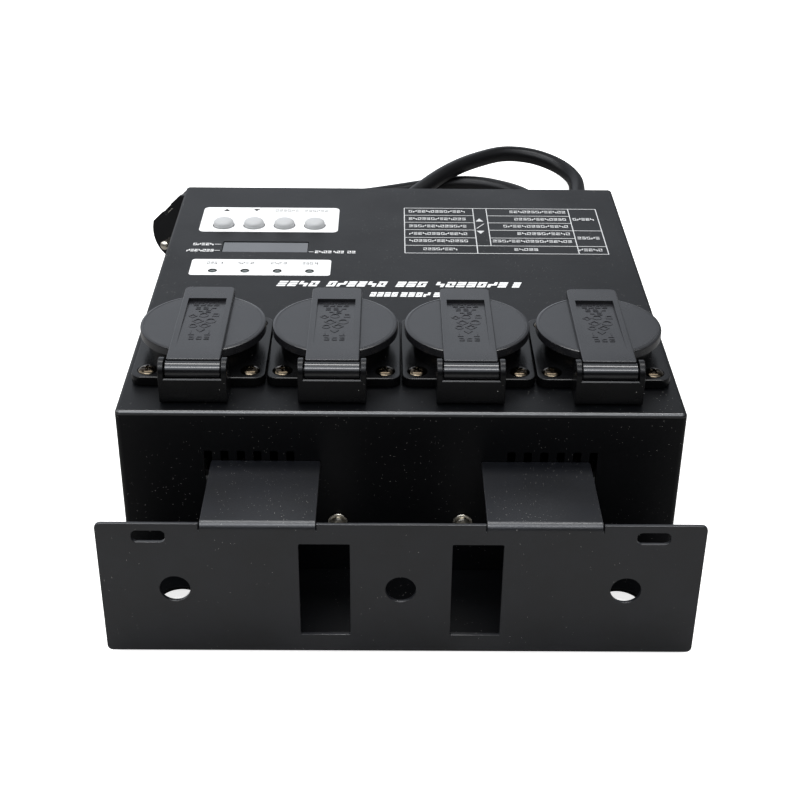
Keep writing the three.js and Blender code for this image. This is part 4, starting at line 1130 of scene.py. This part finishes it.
# %% Feet and their screws
foot = turned("rubber_foot", [
    (0, 2.2), (1.8, 2.2), (3.4, 2.2), (3.6, 2.0), (3.6, 0.3), (3.8, 0), (7.5, 0), (7.85, 0.15),
    (8.0, 0.5), (7.9, 1.2), (7.2, 4.7), (6.9, 5.0), (0, 5.0),
], segments=48)
cut(foot, rod("hole", SCREW_HOLE, 1, 6, segments=20))
foot_screw = turned("foot_screw", [
    (0, 0.5), (1.6, 0.5), (2.5, 0.7), (3.0, 1.3), (3.0, 1.8), (2.9, 1.9), (1.5, 1.9),
    (1.5, 10.4), (1.1, 10.9), (0, 10.9),
], segments=28)
cut(foot_screw, plus("cross", 1.6, 0.8, -1, 1.3))
softened(foot_screw, 0.08, 2, 50)
FOOT_NAMES = ("front_left", "rear_left", "front_right", "rear_right")
foot_places = [(x, y, 0) for x, y in FEET]
spread(
    foot, foot_rubber, "foot_rubber", foot_places,
    "root", "foot_#_rubber", "foot_#", labels=FOOT_NAMES,
)
spread(
    foot_screw, plated_steel, "plated_steel", foot_places,
    "root", "foot_screw_#_head", "foot_screw_#", labels=FOOT_NAMES,
)
print("feet:", FOOT_NAMES)

# %% [markdown]
# ## Controls
# Four grey buttons, a smoked display filter behind an opening, and four small lamps. A button is
# turned, with a crown that is almost flat and a small round edge. The filter sits under the
# sheet, and a raised step of it fills the opening, so the edge throws a thin shadow on it. The
# lamps are the ends of one light guide.

# %% Buttons
button = turned("push_button", [
    (0, -2.5), (5.5, -2.5), (5.6, -2.4), (5.6, -1.6), (5.5, -1.5), (4.6, -1.5),
    (4.6, 1.1), (4.52, 1.55), (4.3, 1.98), (3.95, 2.33), (3.4, 2.62), (2.6, 2.83), (1.7, 2.94),
    (0.8, 2.99), (0, 3.0),
], segments=56)
spread(
    button, button_plastic, "button_grey", [(place.x, place.y, TOP) for place in BUTTONS],
    "push_button_#", "push_button_#_cap", "button_#",
)
print("buttons:", len(BUTTONS), "faces each:", len(button.data.polygons))

# %% Display filter
filter_outline = rounded_box(
    window_high.x - window_low.x, window_high.y - window_low.y, 0.6, WINDOW.x, WINDOW.y,
)
display_filter = plate("display_filter", filter_outline, [], window_low.z, window_high.z, 0.2)
raised_outline = rounded_box(WINDOW_SIZE[0] - 0.5, WINDOW_SIZE[1] - 0.5, 0.4, WINDOW.x, WINDOW.y)
joined(display_filter, plate("step", raised_outline, [], window_high.z - 0.5, TOP - 0.3, 0.15))
settled(display_filter, smoked_filter, "root", "display_filter", "display_window")
print("filter:", [round(value / MM, 1) for value in display_filter.dimensions])

# %% Light guide
guide = pushed("light_guide_bar", rounded_box(
    guide_high.x - guide_low.x, guide_high.y - guide_low.y, 0.4,
    (guide_low.x + guide_high.x) / 2, LED_Y,
), TOP - 3.5, TOP - 1.5)
for place in BUTTONS:
    joined(guide, turned("pip", [
        (0, guide_low.z), (1.5, guide_low.z), (1.6, guide_low.z + 0.2), (1.6, TOP - 0.5),
        (1.45, TOP - 0.2), (1.0, TOP - 0.05), (0, TOP),
    ], "Z", (place.x, LED_Y, 0), 24))
settled(guide, dark_lens, "root", "light_guide_clear", "light_guide")
print("light guide:", len(BUTTONS), "lamps")

# %% [markdown]
# ## Signal sockets and strain relief
# Both sit on the rear wall. A socket is a flanged metal shell round a black insert: the input
# has three pins in a well, the output three holes. The strain relief is a nut, a collar and a
# ribbed taper that lets the lead bend without a kink. Each is drawn about its own axis.

# %% Sockets
SHELL_BACK, SHELL_FRONT = -19.7, 2.3
SHELL_FLOOR = SHELL_FRONT - 14
PIN_RING = 4.1
pin_places = [
    (PIN_RING * math.cos(angle), -PIN_RING * math.sin(angle))
    for angle in (math.pi / 2, math.pi, math.pi * 1.5)
]


def three(name, profile):
    """The same turned form at each of a socket's three pins."""
    return [turned(name, profile, "Y", (u, 0, v), 20) for u, v in pin_places]


for name, (x, z), mouth, radius, front in (
    ("input", SIGNALS[0], 8.2, 8.1, -10.5), ("output", SIGNALS[1], 10.7, 7.9, SHELL_FRONT),
):
    place = (x, REAR, z)
    shell = turned(f"signal_{name}_shell", [
        (0, SHELL_BACK), (11.4, SHELL_BACK), (11.6, SHELL_BACK + 0.2), (11.6, SHELL_FRONT - 0.3),
        (11.3, SHELL_FRONT), (mouth, SHELL_FRONT), (mouth, SHELL_FLOOR), (0, SHELL_FLOOR),
    ], "Y", segments=64)
    ends = (0.3, SHELL_FRONT - 0.05)
    rim = plate("seat", rounded_box(26, 31, 3), [circle(11.45, steps=64)], *ends, 0.3, "Y")
    joined(shell, rim, *[turned("rivet", [
        (0, 1.5), (1.7, 1.5), (1.7, 2.6), (1.45, 2.95), (0.9, 3.15), (0, 3.2),
    ], "Y", (side * 9.5, 0, side * 12), 24) for side in SIDES])
    settled(shell, socket_nickel, "root", "socket_metal", f"signal_{name}", at=place)
    insert = turned(f"signal_{name}_insert", [
        (0, -11.8), (radius, -11.8), (radius, front - 0.3), (radius - 0.3, front), (0, front),
    ], "Y", segments=48)
    if name == "input":
        pins = merged("signal_input_pins", three("pin", [
            (0, -11.9), (1.2, -11.9), (1.2, -1.5), (0.9, -0.9), (0, -0.7),
        ]))
        settled(pins, plated_steel, "root", "plated_steel", at=place)
    else:
        cut(insert, *three("hole", [
            (0, -8.7), (1.5, -8.7), (1.5, 1.9), (2.0, 2.4), (2.0, 3), (0, 3),
        ]))
    settled(insert, module_plastic, "root", "module_black", at=place)
print("sockets:", SIGNALS)

# %% [markdown]
# ### Strain relief
# The ribbed taper is one side view turned about the lead's axis. A loop writes the ribs into the
# side view, each a narrow waist between two rims, so their number and pitch stay easy to change.

# %% Strain relief
RELIEF_RIBS = 6
relief = [
    (0, -7.5), (8.1, -7.5), (8.4, -7.2), (8.4, -1.8), (8.1, -1.5), (6, -1.5), (6, 0.3), (8.7, 0.3),
    (9, 0.6), (9, 3.9), (8.6, 4.3), (6.1, 4.4),
]
for rib in range(RELIEF_RIBS):
    start = 5.6 + rib * 3.5
    relief += [(6.05, start), (5.35, start + 0.25), (5.35, start + 1.1), (6.0, start + 1.35)]
relief += [(5.9, 26.7), (5.6, 27), (0, 27)]
strain_relief = turned("ribbed_strain_relief", relief, "Y", segments=40)
settled(
    strain_relief, lead_rubber, "root", "cord_rubber", "strain_relief",
    at=(RELIEF[0], REAR, RELIEF[1]),
)
print("strain relief:", RELIEF_RIBS, "ribs")

# %% [markdown]
# ## Plug
# The plug lies tipped on its flange and its tail. It is drawn upright about its own axis and then
# given a frame: the lead's last direction, the line of the pins, and the third at a right angle.
# Drawing it where it lies would need every number turned by hand.

# %% The plug's own frame
route_end, route_before = (
    Vector((x, REAR + back, height)) for x, back, height in (LEAD_ROUTE[-1], LEAD_ROUTE[-2])
)
heading = (route_end - route_before).normalized()
level = heading.cross(Vector((0, 0, 1))).normalized()
across = Matrix.Rotation(math.pi / 4, 3, heading) @ level
above = heading.cross(across)
PLUG_FRAME = Matrix.Translation(route_end + heading * 0.3) @ Matrix(
    (across, above, heading)
).transposed().to_4x4()
print("the plug points", [round(value, 2) for value in heading])

# %% The plug's body
plug = turned("plug_body", [
    (0, 0), (5.6, 0), (5.9, 0.3), (6.2, 1.5), (6.7, 3), (7.8, 6), (10.2, 6.2), (11.2, 7.5),
    (13.4, 12), (14.9, 17), (16.4, 22), (18.2, 27), (19.2, 29.4), (19.4, 30), (19.4, 32.4),
    (19.0, 33), (17.2, 33), (17, 33.2), (17, 35.8), (17.2, 36), (18.2, 36), (18.6, 36.4),
    (18.6, 47), (18.3, 47.7), (17.6, 48), (0, 48),
], segments=96)
PLUG_CUTS = (
    (44, 20, 0.5, 26.3, -2, 34.6), (44, 20, 0.5, 25.3, 34.5, 50), (6, 5.2, 0.4, 15.3, 36.5, 49),
)
for width, height, corner, reach, low, high in PLUG_CUTS:
    cut(plug, *[
        pushed("slab", rounded_box(width, height, corner, 0, side * reach), low, high)
        for side in SIDES
    ])
softened(plug, 0.3, 2, 24)
plug.data.transform(PLUG_FRAME)
settled(plug, lead_rubber, "root", "cord_rubber", "mains_plug")
print("plug body:", len(plug.data.polygons), "faces")

# %% [markdown]
# ### The plug's metal, and what goes with the lead
# The two pins and the two earth contacts are bright metal in a black moulding, so they are pieces
# of their own. With the plug's body and the strain relief they belong to the lead: whoever lays
# the lead another way has to move all of them.

# %% The plug's metal
pins = merged("plug_pins", [turned("pin", [
    (0, 47), (2.4, 47), (2.4, 65.6), (2.1, 66.6), (1.3, 67.05), (0, 67.1),
], "Z", (side * 9.5, 0, 0), 28) for side in SIDES])
pins.data.transform(PLUG_FRAME)
settled(pins, plated_steel, "root", "plated_steel")
contacts = merged("plug_earth_contacts", [
    softened(pushed("contact", rounded_box(3.4, 0.5, 0.2, 0, side * 13), 36.7, 46.6), 0.12)
    for side in SIDES
])
contacts.data.transform(PLUG_FRAME)
settled(contacts, plated_steel, "root", "plated_steel")
mains_lead.data.materials.append(lead_rubber)
print("plug metal:", len(pins.data.polygons) + len(contacts.data.polygons), "faces")

# %% [markdown]
# ## Printed marks
# The markings are screen print: a thin film of paint on the powder coat. They are thin solids
# that stand a twentieth of a millimetre proud, because a picture would need an unwrapped cover,
# and a film has an edge that catches light. Words are generic: rows of abstract signs, each made
# of a few out of seven strokes. The table's ink is thinner than the rest, so it is a duller white.

# %% Signs and words
PRINT_FOOT, PRINT_TOP = TOP - 0.03, TOP + 0.05
LEVEL_STEP = 0.015
STROKES = (
    (-1, -1, 1, -1), (-1, 0, 1, 0), (-1, 1, 1, 1), (-1, -1, -1, 0), (-1, 0, -1, 1),
    (1, -1, 1, 0), (1, 0, 1, 1),
)
GLYPHS = (0b0000111, 0b1001101, 0b0110101, 0b0001111, 0b1000111, 0b1001010, 0b0110010, 0b0100111)
DIGITS = (0b1100000, 0b1001111, 0b1100111, 0b1110010)


def bar(x0, x1, back0, back1):
    """One printed bar, between two places across and two behind the face."""
    return (x0 + x1) / 2, FACE + (back0 + back1) / 2, abs(x1 - x0), abs(back1 - back0)


def sign(code, x, back, width, height, stroke):
    """The bars of one sign: each bit of its code is one of seven strokes."""
    bars = []
    for bit, (u0, v0, u1, v1) in enumerate(STROKES):
        if code >> bit & 1:
            half_u, half_v = (width - stroke) / 2, (height - stroke) / 2
            bars.append(bar(
                x + min(u0, u1) * half_u - stroke / 2, x + max(u0, u1) * half_u + stroke / 2,
                back + min(v0, v1) * half_v - stroke / 2, back + max(v0, v1) * half_v + stroke / 2,
            ))
    return bars


def word(x0, x1, back, height, seed=0, share=0.78, stroke=0.18):
    """A row of generic signs that fills a span."""
    count = max(round((x1 - x0) / (height * share)), 1)
    step = (x1 - x0) / count
    bars = []
    for index in range(count):
        code = GLYPHS[(index * 3 + seed) % len(GLYPHS)]
        bars += sign(code, x0 + step * (index + 0.5), back, step * 0.82, height, height * stroke)
    return bars


# %% Print as thin solids


def printed(name, material, bars, outlines=(), lean=0.0, line=0.0):
    """One thin mesh for many bars and outlines. Upright bars stay a hair lower than level ones."""
    form = bmesh.new()
    shapes = [(rounded_box(wide, tall, 0.001, x, y, 1), wide > tall) for x, y, wide, tall in bars]
    for outline, is_level in [*shapes, *((outline, False) for outline in outlines)]:
        prism(form, *(
            [(u + lean * (v - line), v, level) for u, v in outline]
            for level in (PRINT_FOOT, PRINT_TOP + LEVEL_STEP * is_level)
        ))
    piece = from_form(name, form)
    piece.data.transform(Matrix.Scale(MM, 4))
    piece.data.materials.append(material)
    return ridden(piece, "root", "button_grey")


def triangle(x, back, tall, reach):
    """An arrow head, pointing away from the camera or, with a negative height, towards it."""
    y = FACE + back
    return [(x - reach, y), (x + reach, y), (x, y + tall)]


# %% [markdown]
# ### White strips
# Two white strips lie round the buttons and the lamps, with round corners and a hole for each of
# them. They are pushed outlines like the cover, cut by the same kind of drill. The grey signs on
# them are a second ink.

# %% Strips round the buttons and the lamps
strips = []
for x0, x1, back0, back1, corner, hole, y in (
    (-91.0, -28.0, 159.65, 187.8, 2.5, 4.95, BUTTONS[0].y),
    (-90.1, -29.8, 114.0, 130.0, 1.5, 1.95, LED_Y),
):
    middle_x, middle_y, width, height = bar(x0, x1, back0, back1)
    outline = rounded_box(width, height, corner, middle_x, middle_y, 8)
    strip = pushed("strip", outline, PRINT_FOOT, PRINT_TOP)
    holes = drills([(place.x, y) for place in BUTTONS], hole, (TOP - 1, TOP + 1), steps=48)
    strips.append(cut(strip, *holes))
strips = merged("printed_strips", strips)
settled(strips, print_white, "root", "button_grey")
print("strips:", len(strips.data.polygons), "faces")

# %% Marks on and round the strips
grey_marks = word(-58.0, -46.8, 184.4, 2.6, 1) + word(-44.5, -32.9, 184.4, 2.6, 4)
for number, (x0, x1) in enumerate(
    ((-83.6, -76.6), (-70.0, -63.0), (-56.0, -48.9), (-42.3, -35.3)), 1,
):
    grey_marks += word(x0, x1 - 2.2, 126.2, 2.4, number)
    grey_marks += sign(DIGITS[number - 1], x1 - 0.8, 126.2, 1.5, 2.4, 0.45)
printed("printed_strip_marks", print_grey, grey_marks, [
    triangle(-80.5, 183.5, 2.4, 1.7), triangle(-66.5, 186.0, -2.4, 1.7),
])
white_marks = [
    bar(-82.2, -79.2, 145.65, 145.95), bar(-81.6, -79.2, 139.05, 139.35),
    bar(-40.0, -37.9, 138.15, 138.45),
]
for x0, x1, back, seed in (
    (-91.8, -82.5, 145.8, 2), (-94.0, -81.8, 139.2, 5), (-37.5, -29.9, 138.3, 3),
    (-29.3, -24.5, 138.3, 6), (-23.2, -19.4, 138.3, 1),
):
    white_marks += word(x0, x1, back, 2.4, seed)
printed("printed_words", print_white, white_marks)
print("grey strokes:", len(grey_marks), "white strokes:", len(white_marks))

# %% [markdown]
# ### Titles
# Two lines in a wide, leaning face stand behind the outlets. Leaning an upright word is a shear:
# each point moves across by a share of its distance from the line, and the strokes stay level.

# %% Titles, which lean
for name, words, back, height, lean, share, seeds in (
    ("printed_title", ((-51.7, -34.0), (-30.8, -5.4), (-1.8, 11.5), (14.8, 45.5), (47.2, 51.0)),
     106.1, 5.0, 0.3, 0.86, (0, 2, 4, 6, 8)),
    ("printed_second_line", ((-12.7, -0.8), (0, 12.7), (13.6, 17.7)),
     96.3, 4.1, 0.2, 0.8, (1, 4, 7)),
):
    title = []
    for (x0, x1), seed in zip(words, seeds):
        title += word(x0, x1, back, height, seed, share, 0.27)
    printed(name, print_white, title, lean=lean, line=FACE + back)
    print(name, len(title), "strokes")

# %% [markdown]
# ### Settings table
# The table is ruled in thin lines. Inner rows leave a gap for the arrows, and some stop short
# where a cell of the last column is two rows high. Rows and columns are named places, so a line
# is two of them and a width.

# %% The settings table
ROWS = (188.5, 179.9, 171.7, 163.3, 154.6, 146.0, 137.8)
LEFT, VALUES, NOTES, NOTES_END, RIGHT, RIGHT_END = 2.3, 34.4, 40.7, 79.1, 92.1, 92.3
UNBROKEN_ROW = 163.3
LINE = 0.42


def ruled(x0, x1, back0, back1):
    """A thin line along X or along Y: the two places that are equal are parted by its width."""
    across, along = (LINE / 2 if low == high else 0 for low, high in ((x0, x1), (back0, back1)))
    return bar(x0 - across, x1 + across, back0 - along, back1 + along)


table = []
for row in ROWS:
    if ROWS[-2] < row < ROWS[0]:
        row_end = RIGHT_END if row == UNBROKEN_ROW else NOTES_END
        table += [ruled(LEFT, VALUES, row, row), ruled(NOTES, row_end, row, row)]
    else:
        table.append(ruled(LEFT, RIGHT_END, row, row))
table += [ruled(x, x, ROWS[-1], ROWS[0]) for x in (LEFT, VALUES, NOTES_END, RIGHT)]
table.append(ruled(NOTES, NOTES, ROWS[-2], ROWS[0]))
table_words = []
for x0, x1, back, height, seed in (
    (10.3, 25.6, 142.3, 2.6, 1), (50.6, 61.5, 142.3, 2.6, 3), (79.3, 90.0, 142.3, 2.6, 5),
    (4.2, 30.8, 184.7, 2.7, 2), (4.2, 30.8, 176.0, 2.7, 3), (4.2, 30.8, 167.6, 2.7, 4),
    (4.2, 30.8, 159.1, 2.7, 5), (4.2, 30.8, 151.2, 2.7, 6), (51.3, 77.8, 184.8, 2.7, 0),
    (53.0, 77.3, 176.2, 2.7, 1), (47.4, 77.4, 168.0, 2.7, 2), (53.2, 77.4, 159.7, 2.7, 3),
    (41.6, 77.4, 151.3, 2.7, 4), (80.1, 90.2, 176.5, 2.7, 2), (80.0, 90.3, 155.2, 2.7, 4),
):
    table_words += word(x0, x1, back, height, seed)
slash = [(35.0, 165.2), (35.5, 165.2), (39.0, 170.6), (38.5, 170.6)]
printed("printed_table", print_pale, table)
printed("printed_table_words", print_pale, table_words, [
    triangle(36.9, 173.2, 3.4, 1.8), triangle(36.8, 162.6, -3.4, 1.8),
    [(x, FACE + back) for x, back in slash],
])
print("table:", len(table), "lines,", len(table_words), "strokes")

# %% [markdown]
# ## Marks on the lids
# Each lid has generic raised signs in its recess. They stand about a sixth of a millimetre
# above its floor, which slopes, so each sign's own top follows the slope at its place. A height
# map in the finish would be less work, but it has no shadow side when the lid swings open.

# %% Raised signs in the recesses
SIGN_RISE = 0.16


def recess_level(y):
    """Height of the recess's floor, in the outlet's own frame."""
    return RECESS_TOP - RECESS_DEPTH * (y - RECESS_NEAR) / (RECESS_FAR - RECESS_NEAR)


def raised_mark(outline, rise=SIGN_RISE):
    low = min(v for _, v in outline)
    high = max(v for _, v in outline)
    return pushed("mark", outline, recess_level(high) - 0.3, recess_level((low + high) / 2) + rise)


def raised_loop(outline, inner_outline):
    """A raised outline with its middle cut out."""
    return cut(raised_mark(outline), pushed("hole", inner_outline, 13, 17))


def diamond(x, y, reach):
    return [(x, y - reach), (x + reach, y), (x, y + reach), (x - reach, y)]


def ring(x, y, reach):
    return circle(reach, x, y, 32)


marks = []
for row, (y, places) in enumerate((
    (14.2, (-4.0, -1.4, 1.2, 3.8)), (11.0, (-3.0, 0.0, 3.0)), (8.0, (-1.5, 1.2)),
    (-15.2, (-2.6, 0.2, 3.0)),
)):
    for column, x in enumerate(places):
        code = GLYPHS[(row * 3 + column) % len(GLYPHS)]
        for u, v, width, height in sign(code, x, 0, 1.9, 2.2, 0.4):
            marks.append(raised_mark(
                rounded_box(width, height, 0.05, u, v - FACE + y, 1),
                SIGN_RISE + 0.02 * (width > height),
            ))
for shape, x, y, reach, inner_reach in (
    (ring, -0.2, 4.6, 1.9, 1.4), (diamond, -4.2, 3.8, 1.7, 1.1), (diamond, -1.8, -0.6, 2.3, 1.6),
    (ring, 3.0, -0.4, 2.1, 1.5), (diamond, 1.2, -4.6, 2.2, 1.5), (ring, -3.2, -4.8, 1.6, 1.1),
):
    marks.append(raised_loop(shape(x, y, reach), shape(x, y, inner_reach)))
square, inner_square = rounded_box(2.6, 2.6, 0.3, 4.4, 4.8), rounded_box(1.7, 1.7, 0.2, 4.4, 4.8)
marks.append(raised_loop(square, inner_square))
marks.append(raised_mark([(-1.6, -8.0), (1.6, -8.0), (0, -10.2)]))
marks += [raised_mark(rounded_box(0.5, 2.6, 0.2, x, -10.0, 2)) for x in (-3.4, 3.4)]
marks += [raised_mark(rounded_box(2.2, 0.5, 0.2, x, -12.4, 2)) for x in (-3.0, 3.0)]
lid_marks = merged("lid_marks_1", marks)
spread(lid_marks, lid_plastic, "lid_plastic", OUTLETS, "lid_#", "lid_marks_#")
print("raised signs:", len(marks))

# %% [markdown]
# ## Pieces inside
# The boards, the heat sink and the digit module are carried over as packed. They are seen only
# through the vents and the display, so a finish of their own is all that they need.

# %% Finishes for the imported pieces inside
for node, material in (
    ("control_board", board_lacquer), ("power_board", board_lacquer),
    ("heat_sink", sink_aluminium), ("display_module", module_plastic),
):
    inner_piece = frame["nodes"][node]
    inner_piece.data.materials.clear()
    inner_piece.data.materials.append(material)
print("packed pieces that stay:", 4)

# %% [markdown]
# ## Floor, backdrop and light
# A studio sweep: pale floor, white surroundings, one broad soft lamp high behind the object, a
# weaker one at the camera's left, and a long low one above the camera. Painted steel and satin
# plastic show what is round them more than their own colour. So the floor is darker for glossy
# rays, which keeps the front black, and the surroundings differ for them too: bright high up,
# for the lids, dimmer to the right, and a little blue, as the photograph's sheen is. Camera rays
# see plain white, and rays that only light the object see an even grey.

# %% The floor
FLOOR_REACH = 4.0
bpy.ops.mesh.primitive_plane_add(size=FLOOR_REACH)
floor = bpy.context.object
floor.name = "floor"

floor_finish = bpy.data.materials.new("pale_floor")
floor_finish.use_nodes = True
add = new_nodes(floor_finish.node_tree)
rays = add("ShaderNodeLightPath").outputs
floor_tone = mapped(add, rays["Is Glossy Ray"], 0, 1, 0.8, 0.32)
floor_paint = add("ShaderNodeBsdfDiffuse", {"Color": floor_tone})
floor_lift = add("ShaderNodeEmission", {
    "Color": (0.8, 0.8, 0.8, 1), "Strength": rays["Is Camera Ray"],
})
floor_sum = add("ShaderNodeAddShader", {0: floor_paint.outputs[0], 1: floor_lift.outputs[0]})
add("ShaderNodeOutputMaterial", {"Surface": floor_sum.outputs[0]})
floor.data.materials.append(floor_finish)
print("floor:", FLOOR_REACH, "m wide")

# %% The surroundings
world = bpy.data.worlds.new("white_surroundings")
bpy.context.scene.world = world
world.use_nodes = True
add = new_nodes(world.node_tree)
rays = add("ShaderNodeLightPath").outputs
ways = add("ShaderNodeSeparateXYZ", {0: add("ShaderNodeTexCoord").outputs["Generated"]}).outputs
behind = mapped(add, ways["Y"], 0.15, 0.7, 0.1, 1.25)
leftwards = mapped(add, ways["X"], 0.1, 0.27, 0.83, 0.28)
overhead = mapped(add, ways["Z"], 0.45, 0.8, 0.0, 2.4)
frontwards = mapped(add, ways["Y"], 0.15, -0.15)
from_left = mapped(add, ways["X"], -0.6, 0.6, 1.6, 0.5)
rear_glow = reckoned(add, "MULTIPLY", behind, leftwards)
front_share = reckoned(add, "MULTIPLY", frontwards, from_left)
glow = reckoned(add, "MULTIPLY_ADD", overhead, front_share, rear_glow)
seen_glow = add("ShaderNodeMix", {
    0: rays["Is Glossy Ray"], 2: 0.5, 3: glow,
}, data_type="FLOAT").outputs[0]
add("ShaderNodeOutputWorld", {"Surface": add("ShaderNodeBackground", {
    "Color": blended(add, rays["Is Glossy Ray"], (1, 1, 1, 1), (0.94, 0.99, 1.07, 1)),
    "Strength": reckoned(add, "MAXIMUM", seen_glow, rays["Is Camera Ray"]),
}).outputs[0]})
print("surroundings:", len(world.node_tree.nodes), "nodes")

# %% The lamps
AIM = (0, 0, 0.05)


def soft_lamp(name, place, width, height, watts):
    """A rectangular soft box that faces the object."""
    data = bpy.data.lights.new(name, "AREA")
    data.shape = "RECTANGLE"
    data.size = width
    data.size_y = height
    data.energy = watts
    lamp = bpy.data.objects.new(name, data)
    lamp.location = place
    lamp.rotation_mode = "QUATERNION"
    lamp.rotation_quaternion = (Vector(AIM) - Vector(place)).to_track_quat("-Z", "Y")
    bpy.context.scene.collection.objects.link(lamp)


soft_lamp("overhead_box", (0.0, 0.25, 1.1), 1.0, 0.3, 8.5)
soft_lamp("side_box", (-1.1, 0.2, 0.7), 0.7, 0.7, 4.0)
soft_lamp("front_box", (-0.1, -0.62, 1.05), 1.1, 0.14, 5.0)
bpy.context.scene.view_settings.view_transform = "Standard"
print("lamps:", len(bpy.data.lights))
